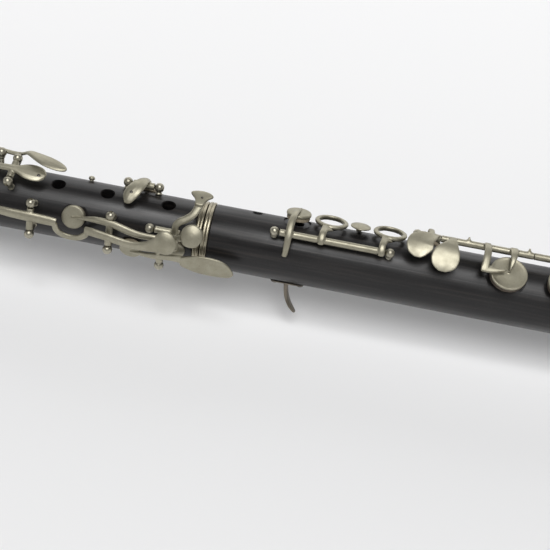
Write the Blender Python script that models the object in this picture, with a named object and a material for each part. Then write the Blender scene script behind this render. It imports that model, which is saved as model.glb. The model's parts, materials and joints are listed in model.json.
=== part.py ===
"""A simple-system oboe in three joints, lying on its side, with its keys, posts and reed.

The bore runs along X, reed at -X and bell at +X, and the origin is in the middle of the whole
instrument. Places on the tube are given as (x, angle, radius) in millimetres and degrees:
x from the plane where the two wooden joints meet, angle round the bore from +Z towards -Y.
The finger holes of the upper joint face +Z, and the lower joint is turned back from them.
"""

import math

import bmesh
import bpy
from mathutils import Matrix, Vector

MM = 0.001

# Lengths along the bore, from the plane where the joints meet
UPPER_LENGTH = 235.0
LOWER_LENGTH = 240.0
BELL_LENGTH = 115.0
REED_OUT = 45.0
JOINT_X = (UPPER_LENGTH + REED_OUT - LOWER_LENGTH - BELL_LENGTH) / 2
BELL_START = LOWER_LENGTH + 0.3
BELL_END = LOWER_LENGTH + BELL_LENGTH

# Wood
UPPER_R = 11.75
LOWER_R = 12.0
FERRULE_BED_R = 10.9
TENON_R = 8.3
TENON_CORE_R = 7.4
TENON_LENGTH = 18.0
SOCKET_R = 8.5
BELL_TENON_R = 9.8
BELL_TENON_CORE_R = 8.8
BELL_TENON_LENGTH = 16.0
BELL_R = 29.2
TAPER_START = -85.0
TAPER_END = -205.0
TAPER_END_R = 8.8
REED_WELL_R = 3.25
REED_WELL_DEPTH = 18.5
SIDES = 24
GAP = 0.15

# Holes
LOWER_TURN = -26.0
UPPER_HOLES = (-56.0, -37.3, -14.2)
UPPER_HOLE_R = 2.6
LOWER_HOLES = (18.5, 46.3, 68.4)
LOWER_HOLE_R = 2.9
FIRST_HOLE_ANGLE, FIRST_HOLE_R = -31.0, 2.0

# Keywork
BALL_R = 1.65
STEM_R = 0.95
FOOT_R = 1.3
ROD_R = 0.6
TUBE_R = 1.3
TUBE_BORE = 0.82
PAD_GAP = 0.3
CUP_OPEN = 7.0
CUP_LOW = 1.6

ALONG = Vector((1, 0, 0))

COLOURS = {
    "wood": ((0.022, 0.019, 0.021), 0.38, 0.0),
    "nickel": ((0.56, 0.53, 0.44), 0.34, 1.0),
    "steel": ((0.45, 0.45, 0.44), 0.35, 1.0),
    "pad": ((0.74, 0.66, 0.50), 0.8, 0.0),
    "cork": ((0.52, 0.33, 0.18), 0.9, 0.0),
    "cane": ((0.78, 0.62, 0.32), 0.55, 0.0),
    "thread": ((0.35, 0.05, 0.05), 0.7, 0.0),
    "brass": ((0.72, 0.52, 0.22), 0.35, 1.0),
}


def outward(angle):
    """The direction straight out of the tube at this angle."""
    turn = math.radians(angle)
    return Vector((0, -math.sin(turn), math.cos(turn)))


def around(angle):
    """The direction in which the angle grows."""
    turn = math.radians(angle)
    return Vector((0, -math.cos(turn), -math.sin(turn)))


def at(x, angle, radius):
    """A place on the instrument, in millimetres."""
    return ALONG * (JOINT_X + x) + outward(angle) * radius


def solid(vertices, faces):
    """A closed mesh object from millimetre points, with its faces pointing out."""
    mesh = bpy.data.meshes.new("solid")
    mesh.from_pydata([Vector(v) * MM for v in vertices], [], faces)
    build = bmesh.new()
    build.from_mesh(mesh)
    bmesh.ops.recalc_face_normals(build, faces=build.faces)
    build.to_mesh(mesh)
    build.free()
    obj = bpy.data.objects.new("solid", mesh)
    bpy.context.scene.collection.objects.link(obj)
    return obj


def turned(origin, axis, profile, sides=16, ring=False, phase=0.0):
    """A profile of (height, radius) points turned about an axis; ring closes it on itself."""
    axis = Vector(axis).normalized()
    side = axis.orthogonal().normalized()
    if abs(axis.x) > 0.999:
        side = Vector((0, 0, 1))
    third = axis.cross(side)
    vertices, rows = [], []
    for height, radius in profile:
        count = 1 if radius == 0 else sides
        rows.append(list(range(len(vertices), len(vertices) + count)))
        for step in range(count):
            turn = 2 * math.pi * (step + phase) / sides
            spoke = side * math.cos(turn) + third * math.sin(turn)
            vertices.append(origin + axis * height + spoke * radius)
    faces = []
    pairs = list(zip(rows, rows[1:] + rows[:1]))
    for low, high in pairs if ring else pairs[:-1]:
        for step in range(sides):
            corners = [low[step % len(low)], low[(step + 1) % len(low)]]
            corners += [high[(step + 1) % len(high)], high[step % len(high)]]
            faces.append(list(dict.fromkeys(corners)))
    return solid(vertices, faces)


def rod(start, end, radius, sides=8, phase=0.13):
    """A plain round bar between two points."""
    length = (end - start).length
    profile = [(0, 0), (0, radius), (length, radius), (length, 0)]
    return turned(start, end - start, profile, sides, phase=phase)


def ball(centre, radius, axis):
    """A ball with its poles on the axis."""
    rings = 4
    profile = []
    for step in range(rings + 1):
        turn = math.pi * step / rings
        height = -radius * math.cos(turn)
        profile.append((height, radius * math.sin(turn) if 0 < step < rings else 0))
    return turned(centre, axis, profile, 8, phase=0.27)


def tube(x_start, x_end, profile_out, profile_in, sides=SIDES):
    """A hollow turned body on the bore's axis, from (x, radius) points outside and inside."""
    points = [(x, r) for x, r in profile_out] + [(x, r) for x, r in reversed(profile_in)]
    assert points[0][0] == x_start and points[len(profile_out) - 1][0] == x_end
    return turned(at(0, 0, 0), ALONG, points, sides, ring=True)


def bar(stations, side=None):
    """A flat bar through (x, angle, radius, width, thickness) stations."""
    centres = [at(x, a, r) for x, a, r, _, _ in stations]
    vertices, faces = [], []
    for index, (_, angle, _, width, thick) in enumerate(stations):
        before = centres[max(index - 1, 0)]
        after = centres[min(index + 1, len(centres) - 1)]
        along = (after - before).normalized()
        across = side.copy() if side else along.cross(outward(angle))
        across.normalize()
        lift = across.cross(along).normalized()
        for u, v in ((-1, -1), (1, -1), (1, 1), (-1, 1)):
            vertices.append(centres[index] + across * (u * width / 2) + lift * (v * thick / 2))
    for index in range(len(stations) - 1):
        base = 4 * index
        for corner in range(4):
            after = (corner + 1) % 4
            faces.append([base + corner, base + after, base + 4 + after, base + 4 + corner])
    last = len(vertices) - 4
    faces += [[3, 2, 1, 0], [last, last + 1, last + 2, last + 3]]
    return solid(vertices, faces)


def plate(place, outline, thick, dome, lean=0.0):
    """A domed touch: an outline of (along, around) points, thickened at a place on the tube."""
    x, angle, radius = place
    centre, normal, across = at(x, angle, radius), outward(angle - lean), around(angle - lean)
    count = len(outline)
    vertices = []
    for level in (-0.5, 0.5):
        for scale, rise in ((1.0, 0.0), (0.6, 0.64), (0.0, 1.0)):
            ring = outline if scale else [(0, 0)]
            for u, v in ring:
                height = level * thick + dome * rise
                vertices.append(centre + ALONG * (u * scale) + across * (v * scale) + normal * height)
    size = 2 * count + 1
    faces = []
    for step in range(count):
        after = (step + 1) % count
        for base in (0, size):
            faces.append([base + step, base + after, base + count + after, base + count + step])
            faces.append([base + count + step, base + count + after, base + 2 * count])
        faces.append([step, after, size + after, size + step])
    return solid(vertices, faces)


def oval(length, width, count=16, point=0.0, turn=0.0):
    """An oval outline; point draws its -along end out into a teardrop."""
    outline = []
    for step in range(count):
        phase = 2 * math.pi * step / count
        u = math.cos(phase) * length / 2
        v = math.sin(phase) * width / 2 * (1 + point * math.cos(phase)) / (1 + 0.2 * point)
        spin = math.radians(turn)
        outline.append((u * math.cos(spin) - v * math.sin(spin), u * math.sin(spin) + v * math.cos(spin)))
    return outline


def cup(x, angle, seat, radius, pad_thick, height=1.5):
    """A closed pad cup over a seat, as (cup, top of the cup)."""
    base = seat + PAD_GAP + pad_thick + GAP
    profile = [(0, 0), (0, radius), (height * 0.6, radius), (height * 0.9, radius * 0.86), (height, 0)]
    return turned(at(x, angle, base), outward(angle), profile, 16), base + height


def pad(name, x, angle, seat, radius, thick):
    """The skin-covered pad that closes a tone hole."""
    rim = thick * 0.25
    profile = [(0, 0), (0, radius - rim), (rim, radius), (thick, radius), (thick, 0)]
    obj = turned(at(x, angle, seat + PAD_GAP), outward(angle), profile, 16)
    return finish(obj, name, "pad")


def evaluated(obj):
    """Apply an object's modifiers for good."""
    graph = bpy.context.evaluated_depsgraph_get()
    mesh = bpy.data.meshes.new_from_object(obj.evaluated_get(graph))
    obj.modifiers.clear()
    obj.data = mesh


def combine(first, others, operation):
    """One Boolean of the first object with each of the others, which are then removed."""
    for other in others:
        modifier = first.modifiers.new("join", "BOOLEAN")
        modifier.operation = operation
        modifier.solver = "EXACT"
        modifier.object = other
        evaluated(first)
        bpy.data.objects.remove(other)
    return first


def union(first, *others):
    return combine(first, others, "UNION")


def cut(first, *others):
    return combine(first, others, "DIFFERENCE")


def tidy(obj):
    """Weld the hair-thin edges that Booleans leave, as far as the surface stays closed."""
    for reach in (0.03, 0.015, 0.008, 0.004, 0.001):
        build = bmesh.new()
        build.from_mesh(obj.data)
        bmesh.ops.remove_doubles(build, verts=build.verts, dist=reach * MM)
        bmesh.ops.dissolve_degenerate(build, edges=build.edges, dist=reach * MM)
        bmesh.ops.triangulate(build, faces=build.faces)
        bmesh.ops.recalc_face_normals(build, faces=build.faces)
        closed = all(len(edge.link_faces) == 2 for edge in build.edges)
        if closed:
            build.to_mesh(obj.data)
        build.free()
        if closed:
            return


def material(name, kind):
    colour, rough, metal = COLOURS[kind]
    made = bpy.data.materials.new(name + "_" + kind)
    made.use_nodes = True
    shader = made.node_tree.nodes["Principled BSDF"]
    shader.inputs["Base Color"].default_value = (*colour, 1)
    shader.inputs["Roughness"].default_value = rough
    shader.inputs["Metallic"].default_value = metal
    return made


def finish(obj, name, kind, pivot=None):
    """Name, clean, colour and shade a piece, and put its origin on its pivot."""
    tidy(obj)
    obj.name = name
    obj.data.name = name
    obj.data.materials.clear()
    obj.data.materials.append(material(name, kind))
    obj.data.shade_smooth()
    obj.data.set_sharp_from_angle(angle=math.radians(35))
    if pivot:
        obj.data.transform(Matrix.Translation(-pivot * MM))
        obj.location = pivot * MM
    return obj


def round_tube_key(name, start, end, pieces):
    """A key on a hinge tube between two points, bored for its rod."""
    key = union(rod(start, end, TUBE_R, 12, 0.37), *pieces)
    reach = (end - start).normalized() * 2
    key = cut(key, rod(start - reach, end + reach, TUBE_BORE, 8))
    return finish(key, name, "nickel", (start + end) / 2)


def post(x, angle, radius, ground, axis):
    """A post with a ball head, as its separate turned shapes."""
    foot = ground + GAP
    rise = radius - foot
    top = rise + 0.3
    profile = [(0, 0), (0, FOOT_R), (0.9, STEM_R), (top, STEM_R), (top, 0)]
    stem = turned(at(x, angle, foot), outward(angle), profile, 7)
    return [stem, ball(at(x, angle, radius), BALL_R, axis)]


def rod_posts(name, places, ground):
    """Posts in a row with the steel rod that they carry."""
    points = [at(*place) for place in places]
    axis = (points[-1] - points[0]).normalized()
    tip = axis * (BALL_R + 0.4)
    shapes = [shape for place in places for shape in post(*place, ground, axis)]
    obj = union(rod(points[0] - tip, points[-1] + tip, ROD_R), *shapes)
    return finish(obj, name, "steel")


def saddle(x, angles, radius):
    """The two ends of an axle that runs round the tube, kept clear of its balls."""
    first, second = at(x, angles[0], radius), at(x, angles[1], radius)
    inset = (second - first).normalized() * (BALL_R + 0.25)
    return first + inset, second - inset


def saddle_posts(name, x, angles, radius, ground):
    return rod_posts(name, [(x, angles[0], radius), (x, angles[1], radius)], ground)


def together(objects):
    """Separate cutters gathered in one object, so that one Boolean takes them all."""
    build = bmesh.new()
    for obj in objects:
        build.from_mesh(obj.data)
    build.to_mesh(objects[0].data)
    build.free()
    for obj in objects[1:]:
        bpy.data.objects.remove(obj)
    return objects[0]


def hole(x, angle, radius, inner):
    """A cutter for a hole straight in from outside."""
    return rod(at(x, angle, inner), at(x, angle, LOWER_R + 3), radius, 14, 0.31)


def lower_radius(x):
    """Outside radius of the lower joint where it carries keys."""
    return LOWER_R + 0.2 * (x - 2.8) / (LOWER_LENGTH - 62.8)


def upper_radius(x):
    """Outside radius of the upper joint."""
    if x > TAPER_START:
        return UPPER_R
    share = (x - TAPER_START) / (TAPER_END - TAPER_START)
    return UPPER_R + (TAPER_END_R - UPPER_R) * share


# Each pad: name, x, angle, seat radius, cup radius, pad thickness, tone hole radius
UPPER_PADS = {
    "short_side": (-47.2, 55.5, 11.1, 4.4, 1.5, 2.2),
    "long_side": (-84.0, 62.0, 11.0, 4.4, 1.5, 2.2),
    "fan": (-8.5, 79.0, 11.2, 3.6, 1.2, 1.8),
    "spoon": (-25.2, 95.4, 11.1, 4.2, 1.4, 2.0),
    "leaf": (-24.2, -64.0, 11.1, 4.0, 1.4, 2.0),
    "upper_touch": (-86.0, -54.0, 11.0, 4.2, 1.5, 2.0),
    "lower_touch": (-91.5, 4.0, 10.9, 4.2, 1.5, 2.0),
    "octave": (-143.0, 180.0, 9.7, 3.2, 1.3, 0.9),
}
LOWER_PADS = {
    "ring": (33.8, -25.0, 11.2 + 1.5, 4.7, 1.5, 2.6),
    "button": (57.2, -130.0, 11.3, 4.4, 1.5, 2.4),
    "e_flat": (83.2, -64.0, 11.1, 5.2, 1.6, 3.0),
    "low_c": (112.4, 17.5, 11.3, 6.9, 1.3, 4.2),
    "low_b": (133.6, 17.5, 11.4, 6.9, 1.3, 4.2),
}
RING_SEAT = 11.2


def tone_hole_cutters(pads, inner):
    """Tone holes with flat seats under the pads."""
    cutters = []
    for name, (x, angle, seat, radius, _, bore) in pads.items():
        floor = RING_SEAT if name == "ring" else seat
        top = LOWER_R + 3
        wide = radius + 0.5
        profile = [(inner, 0), (inner, bore), (floor, bore), (floor, wide), (top, wide), (top, 0)]
        cutters.append(turned(at(x, angle, 0), outward(angle), profile, 16, phase=0.19))
    return cutters


def upper_joint():
    end = -UPPER_LENGTH
    outside = [
        (end, 7.6), (end + 2.6, 7.6), (end + 2.6, 9.2), (end + 4.6, 8.4), (end + 8, 9.0),
        (end + 12, 11.0), (end + 17, 11.4), (end + 22, 9.8), (end + 26, 8.4), (end + 28, 9.3),
        (end + 30, TAPER_END_R), (TAPER_START, UPPER_R), (-2.6, UPPER_R), (-2.6, FERRULE_BED_R),
        (0, FERRULE_BED_R), (0, TENON_R), (2, TENON_R), (2, TENON_CORE_R), (16, TENON_CORE_R),
        (16, TENON_R), (TENON_LENGTH, TENON_R),
    ]
    inside = [
        (end, REED_WELL_R), (end + REED_WELL_DEPTH, REED_WELL_R), (end + REED_WELL_DEPTH, 2.3),
        (TENON_LENGTH, 4.3),
    ]
    wood = tube(end, TENON_LENGTH, outside, inside)
    cutters = [hole(x, 0, UPPER_HOLE_R, 2.5) for x in UPPER_HOLES]
    wood = cut(wood, together(cutters + tone_hole_cutters(UPPER_PADS, 2.6)))
    return finish(wood, "upper_joint", "wood")


def lower_joint():
    end = LOWER_LENGTH + BELL_TENON_LENGTH
    outside = [
        (0.15, FERRULE_BED_R), (2.8, FERRULE_BED_R), (2.8, LOWER_R), (LOWER_LENGTH - 60, LOWER_R + 0.2),
        (LOWER_LENGTH - 16, LOWER_R + 0.8), (LOWER_LENGTH - 4, LOWER_R + 1.6), (LOWER_LENGTH, LOWER_R + 1.4),
        (LOWER_LENGTH, BELL_TENON_R), (LOWER_LENGTH + 2, BELL_TENON_R),
        (LOWER_LENGTH + 2, BELL_TENON_CORE_R), (end - 2, BELL_TENON_CORE_R), (end - 2, BELL_TENON_R),
        (end, BELL_TENON_R),
    ]
    inside = [(0.15, SOCKET_R), (TENON_LENGTH + 0.4, SOCKET_R), (TENON_LENGTH + 0.4, 4.4), (end, 7.6)]
    wood = tube(0.15, end, outside, inside)
    cutters = [hole(x, LOWER_TURN, LOWER_HOLE_R, 3.5) for x in LOWER_HOLES[1:]]
    cutters.append(hole(LOWER_HOLES[0], FIRST_HOLE_ANGLE, FIRST_HOLE_R, 3.5))
    wood = cut(wood, together(cutters + tone_hole_cutters(LOWER_PADS, 3.5)))
    return finish(wood, "lower_joint", "wood")


def bell():
    outside = [
        (BELL_START, 13.0), (BELL_START + 6.4, 13.0), (BELL_START + 6.4, 14.9), (BELL_START + 14, 14.6),
        (BELL_START + 17, 13.6), (LOWER_LENGTH + 32, 13.4), (LOWER_LENGTH + 60, 15.4),
        (LOWER_LENGTH + 84, 19.8), (LOWER_LENGTH + 102, 25.2), (LOWER_LENGTH + 108, 27.4),
        (BELL_END - 4.3, 29.0), (BELL_END - 3.2, 29.0), (BELL_END - 3.2, 28.0), (BELL_END, 28.0),
    ]
    inside = [
        (BELL_START, 10.1), (LOWER_LENGTH + 16.6, 10.1), (LOWER_LENGTH + 16.6, 8.0),
        (LOWER_LENGTH + 34, 9.0), (LOWER_LENGTH + 60, 11.4), (LOWER_LENGTH + 84, 15.8),
        (LOWER_LENGTH + 104, 21.8), (BELL_END, 26.2),
    ]
    return finish(tube(BELL_START, BELL_END, outside, inside), "bell", "wood")


def ridged_ring(name, start, end, inner, outer, kind="nickel"):
    """A ferrule with a turned groove in the middle."""
    width = end - start
    outside = [
        (start, outer), (start + width * 0.4, outer), (start + width * 0.5, outer - 0.4),
        (start + width * 0.6, outer), (end, outer),
    ]
    return finish(tube(start, end, outside, [(start, inner), (end, inner)]), name, kind)


def sleeve(name, start, end, inner, outer, kind):
    """A plain ring, for corks and the thread."""
    outside = [(start, outer), (end, outer)]
    return finish(tube(start, end, outside, [(start, inner), (end, inner)]), name, kind)


def rings_and_corks():
    ridged_ring("upper_ferrule", -2.45, -0.08, FERRULE_BED_R + GAP, 12.35)
    ridged_ring("lower_ferrule", 0.22, 2.65, FERRULE_BED_R + GAP, 12.45)
    ridged_ring("top_ring", -UPPER_LENGTH, -UPPER_LENGTH + 2.45, 7.75, 9.0)
    ridged_ring("bell_socket_ring", BELL_START, BELL_START + 6.25, 13.15, 15.1)
    ridged_ring("bell_rim_ring", BELL_END - 3.05, BELL_END, 28.15, BELL_R)
    sleeve("middle_tenon_cork", 2.15, 15.85, TENON_CORE_R + 0.1, TENON_R + 0.05, "cork")
    cork_end = LOWER_LENGTH + BELL_TENON_LENGTH - 2.15
    sleeve("bell_tenon_cork", LOWER_LENGTH + 2.15, cork_end, BELL_TENON_CORE_R + 0.1, 9.9, "cork")


def blade(name, facing):
    """Half of the double reed: round at the thread, wide and thin at the tip."""
    vertices, faces = [], []
    steps, arc = 6, 6
    start, tip = -UPPER_LENGTH - 17.2, -UPPER_LENGTH - REED_OUT
    for step in range(steps + 1):
        share = step / steps
        x = start + (tip - start) * share
        half_width = 2.1 + 1.5 * share**1.6
        rise = 2.1 * (1 - share) ** 1.3 + 0.62 * share
        wall = 0.9 * (1 - share) + 0.28 * share
        for scale_w, height in ((1, 0), (1, -wall)):
            for corner in range(arc + 1):
                turn = math.pi * corner / arc
                y = half_width * math.cos(turn) * scale_w
                z = 0.12 + max(rise + height, 0.0) * math.sin(turn)
                if height and corner in (0, arc):
                    y *= 0.8
                vertices.append(at(x, 0, 0) + Vector((0, y, facing * z)))
    row = 2 * (arc + 1)
    outer = list(range(arc + 1))
    inner = [arc + 1 + corner for corner in reversed(range(arc + 1))]
    loop = outer + inner
    for step in range(steps):
        for index in range(row):
            a, b = loop[index], loop[(index + 1) % row]
            faces.append([step * row + a, step * row + b, (step + 1) * row + b, (step + 1) * row + a])
    for corner in range(arc):
        for base, flip in ((0, False), (steps * row, True)):
            quad = [corner, corner + 1, arc + 2 + corner, arc + 1 + corner]
            faces.append([base + index for index in (reversed(quad) if flip else quad)])
    return finish(solid(vertices, faces), name, "cane")


def reed():
    top = -UPPER_LENGTH
    staple = tube(
        top - 16.8, top + 17.8, [(top - 16.8, 2.05), (top + 17.8, 2.3)],
        [(top - 16.8, 1.3), (top + 17.8, 1.9)],
    )
    finish(staple, "staple", "brass")
    sleeve("staple_cork", top - 7, top + 17.6, 2.4, 3.1, "cork")
    sleeve("reed_thread", top - 22, top - 7.3, 2.5, 3.25, "thread")
    blade("reed_blade_upper", 1)
    blade("reed_blade_lower", -1)


def pads():
    for name, (x, angle, seat, radius, thick, _) in {**UPPER_PADS, **LOWER_PADS}.items():
        made = pad(name + "_pad", x, angle, seat, radius - 0.35, thick)
        if name in ("low_c", "low_b"):
            opened(made)


def opened(obj):
    """Swing an open-standing key up about the foot rod to its rest place."""
    pivot = at(0, FOOT_ANGLE, FOOT_RADIUS) * MM
    turn = Matrix.Rotation(math.radians(-CUP_OPEN), 4, "X")
    obj.data.transform(
        Matrix.Translation(pivot - obj.location) @ turn @ Matrix.Translation(obj.location - pivot)
    )


SHORT_SIDE_X, SHORT_SIDE_ANGLES, SIDE_AXLE_R = -32.9, (43.3, 88.1), 17.5
LONG_SIDE_X, LONG_SIDE_ANGLES = -62.4, (46.1, 87.2)
SPOON_X, SPOON_ANGLES, SPOON_AXLE_R = -14.0, (70.0, 109.0), 16.0
TOUCH_X, TOUCH_ANGLES, TOUCH_AXLE_R = -72.4, (25.5, -13.0), 17.4
OCTAVE_X, OCTAVE_ANGLES, OCTAVE_AXLE_R = -128.0, (160.0, 200.0), 15.0
FAN_ANGLE, FAN_RADIUS = 49.5, 15.2
LEAF_ANGLE, LEAF_RADIUS = -30.0, 14.4
UPPER_TOUCH_ANGLE, UPPER_TOUCH_RADIUS = -18.0, 17.9
RING_ANGLE, RING_RADIUS = 21.3, 15.5
BUTTON_ANGLE, BUTTON_RADIUS = -95.0, 15.5
FOOT_ANGLE, FOOT_RADIUS = -17.0, 17.0


def short_side_key():
    lever = bar([
        (-47.0, 55.2, 14.5, 0.9, 0.9), (-43, 53.6, 15.2, 1.8, 1.0), (-38.5, 51.6, 16.6, 2.2, 1.3),
        (-34.8, 51.6, 17.2, 2.3, 1.5), (-32, 52.2, 17.4, 2.3, 1.4), (-29, 54.4, 17.5, 2.4, 1.3),
        (-25.3, 57.2, 17.7, 2.4, 1.2), (-21.5, 59, 17.8, 2.4, 1.2), (-16.2, 59, 17.9, 2.3, 1.2),
        (-10, 58.5, 17.7, 2.3, 1.1), (-7.6, 56, 18.0, 2.4, 1.1), (-6.2, 54.5, 18.9, 2.6, 1.1),
        (-4.2, 52.5, 19.8, 3.4, 1.1), (-2.6, 51.5, 20.0, 3.6, 1.0),
    ])
    paddle = plate((-2.4, 50.5, 20.0), oval(8.0, 8.4), 1.2, 0.5)
    head, _ = cup(*UPPER_PADS["short_side"][:5])
    start, end = saddle(SHORT_SIDE_X, SHORT_SIDE_ANGLES, SIDE_AXLE_R)
    round_tube_key("short_side_key", start, end, [lever, paddle, head])
    saddle_posts("short_side_posts", SHORT_SIDE_X, SHORT_SIDE_ANGLES, SIDE_AXLE_R, UPPER_R)


def long_side_key():
    lever = bar([
        (-84, 62, 14.4, 0.9, 0.9), (-79, 62, 15.5, 1.8, 1.0), (-72, 62.3, 16.9, 2.6, 1.4),
        (-66, 62.6, 17.3, 2.9, 1.5), (-62, 62.8, 17.4, 2.9, 1.5), (-58, 63.6, 17.3, 2.9, 1.4),
        (-54.6, 66, 17.2, 2.7, 1.3), (-53.2, 72, 17.0, 2.4, 1.3), (-51.2, 79, 16.6, 2.4, 1.3),
        (-48.0, 82.5, 16.5, 2.4, 1.3), (-44.9, 79.5, 16.7, 2.4, 1.3), (-42.7, 72.8, 17.2, 2.4, 1.3),
        (-40.6, 67.2, 18.0, 2.5, 1.3), (-37.5, 65.4, 18.9, 2.7, 1.3), (-32.9, 66.6, 19.6, 2.7, 1.2),
        (-27.8, 69, 20.1, 2.7, 1.2), (-22.8, 70.2, 20.6, 2.8, 1.2), (-18, 69, 21.3, 3.4, 1.2),
        (-14.5, 65, 21.7, 4.6, 1.1),
    ])
    paddle = plate((-11.1, 59.0, 21.7), oval(8.2, 8.6), 1.2, 0.5)
    head, _ = cup(*UPPER_PADS["long_side"][:5])
    start, end = saddle(LONG_SIDE_X, LONG_SIDE_ANGLES, SIDE_AXLE_R)
    round_tube_key("long_side_key", start, end, [lever, paddle, head])
    saddle_posts("long_side_posts", LONG_SIDE_X, LONG_SIDE_ANGLES, SIDE_AXLE_R, UPPER_R)


def fan_key():
    arm = bar([
        (-9.0, 52, 15.6, 2.4, 1.2), (-9.1, 44, 16.9, 2.4, 1.3), (-9.0, 39.5, 17.5, 2.4, 1.3),
        (-7.8, 34.8, 18.0, 2.4, 1.3), (-5.6, 30.5, 18.4, 2.5, 1.3), (-3.6, 25, 18.9, 2.6, 1.3),
        (-2.4, 18, 19.6, 2.8, 1.2), (-1.9, 11, 20.3, 3.6, 1.1), (-1.9, 8, 20.5, 4.4, 1.0),
    ])
    fan = plate(
        (-1.9, 5.5, 20.6),
        [(-1.6, 3.2), (1.4, 3.2), (2.6, 0.6), (4.4, -1.2), (4.6, -2.0), (2.4, -2.9), (0, -3.2),
         (-2.4, -2.9), (-4.0, -2.0), (-3.9, -1.2), (-2.6, 0.8)],
        1.0, 0.0,
    )
    pad_arm = bar([
        (-8.5, 53, 14.5, 2.2, 1.0), (-8.5, 62, 14.35, 2.0, 1.0), (-8.5, 71, 14.35, 1.8, 1.0),
        (-8.5, 78.5, 14.0, 1.0, 0.9),
    ])
    head, _ = cup(*UPPER_PADS["fan"][:5], 1.2)
    start, end = at(-16.6, FAN_ANGLE, FAN_RADIUS), at(-7.3, FAN_ANGLE, FAN_RADIUS)
    round_tube_key("fan_key", start, end, [arm, fan, pad_arm, head])
    places = [(-18.5, FAN_ANGLE, FAN_RADIUS), (-5.4, FAN_ANGLE, FAN_RADIUS)]
    rod_posts("fan_posts", places, UPPER_R)


def spoon_key():
    lever = bar([
        (-25.2, 95.4, 14.4, 0.9, 0.9), (-21.5, 94, 14.9, 1.8, 1.0), (-17, 90.5, 15.7, 2.6, 1.3),
        (-14, 88, 16.0, 2.8, 1.4), (-9.7, 84, 16.6, 2.8, 1.2), (-5, 82, 17.2, 3.6, 1.2),
        (-1, 82, 17.6, 4.6, 1.1),
    ])
    blade_outline = [
        (-10.5, -1.6), (-7, -3.2), (-2, -4.2), (3, -4.0), (6.6, -2.6), (8.9, 0.2), (9.4, 2.2),
        (7.4, 3.6), (2, 4.2), (-4, 3.9), (-8, 2.9), (-10.5, 1.8),
    ]
    spoon = plate((5.0, 83.5, 17.7), blade_outline, 1.1, 0.5)
    head, _ = cup(*UPPER_PADS["spoon"][:5])
    start, end = saddle(SPOON_X, SPOON_ANGLES, SPOON_AXLE_R)
    round_tube_key("spoon_key", start, end, [lever, spoon, head])
    saddle_posts("spoon_posts", SPOON_X, SPOON_ANGLES, SPOON_AXLE_R, UPPER_R)


def leaf_key():
    leaf = bar([
        (-29.4, 19, 14.5, 0.9, 0.8), (-28.8, 15, 15.1, 3.6, 1.0), (-27.9, 7, 16.0, 5.8, 1.1),
        (-26.7, -2, 16.8, 6.0, 1.2), (-25.6, -12, 17.1, 5.2, 1.2), (-25.0, -21, 16.9, 4.0, 1.2),
        (-24.8, -30, 16.2, 3.0, 1.3), (-24.6, -40, 15.6, 2.4, 1.1), (-24.4, -52, 14.9, 1.8, 1.0),
        (-24.2, -63, 14.4, 1.2, 0.9),
    ])
    head, _ = cup(*UPPER_PADS["leaf"][:5])
    start, end = at(-29.4, LEAF_ANGLE, LEAF_RADIUS), at(-21.3, LEAF_ANGLE, LEAF_RADIUS)
    round_tube_key("leaf_key", start, end, [leaf, head])
    places = [(-31.4, LEAF_ANGLE, LEAF_RADIUS), (-19.4, LEAF_ANGLE, LEAF_RADIUS)]
    rod_posts("leaf_posts", places, UPPER_R)


def upper_touch_key():
    touch = bar([
        (-85, -18, 18.6, 2.6, 1.4), (-82, -24, 18.4, 2.2, 1.3), (-79, -28.2, 17.9, 2.0, 1.2),
        (-75.4, -27, 17.8, 2.0, 1.2), (-72.4, -25.2, 18.1, 2.0, 1.2), (-70.1, -21.5, 19.0, 2.3, 1.2),
        (-68, -16.5, 19.9, 3.4, 1.2), (-65.5, -12, 20.2, 4.8, 1.1), (-63, -8, 20.4, 5.8, 1.1),
        (-60, -4, 20.5, 6.4, 1.0), (-56, -0.5, 20.4, 5.2, 1.0), (-52.6, 2.3, 20.2, 1.6, 0.9),
    ])
    pad_arm = bar([
        (-86, -17, 18.9, 2.2, 1.2), (-86, -26, 18.7, 2.2, 1.2), (-86, -40, 17.2, 2.0, 1.1),
        (-86, -53.5, 14.4, 1.2, 0.9),
    ])
    head, _ = cup(*UPPER_PADS["upper_touch"][:5])
    start = at(-95.2, UPPER_TOUCH_ANGLE, UPPER_TOUCH_RADIUS)
    end = at(-80.9, UPPER_TOUCH_ANGLE, UPPER_TOUCH_RADIUS)
    round_tube_key("upper_touch_key", start, end, [touch, pad_arm, head])
    places = [(x, UPPER_TOUCH_ANGLE, UPPER_TOUCH_RADIUS) for x in (-97.1, -79.0)]
    rod_posts("upper_touch_posts", places, UPPER_R)


def lower_touch_key():
    touch = bar([
        (-91.5, 4, 14.3, 0.9, 0.9), (-86, 4, 15.2, 1.8, 1.0), (-79, 5, 16.6, 2.6, 1.3),
        (-72.4, 6, 17.2, 2.8, 1.4), (-69, 6.5, 17.3, 3.4, 1.2), (-66, 6.6, 17.2, 6.0, 1.1),
        (-63, 6.8, 17.0, 6.4, 1.0), (-60.8, 7.2, 16.8, 4.0, 0.9), (-59.8, 7.4, 16.7, 1.4, 0.9),
    ])
    head, _ = cup(*UPPER_PADS["lower_touch"][:5])
    start, end = saddle(TOUCH_X, TOUCH_ANGLES, TOUCH_AXLE_R)
    round_tube_key("lower_touch_key", start, end, [touch, head])
    saddle_posts("lower_touch_posts", TOUCH_X, TOUCH_ANGLES, TOUCH_AXLE_R, UPPER_R)


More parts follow.
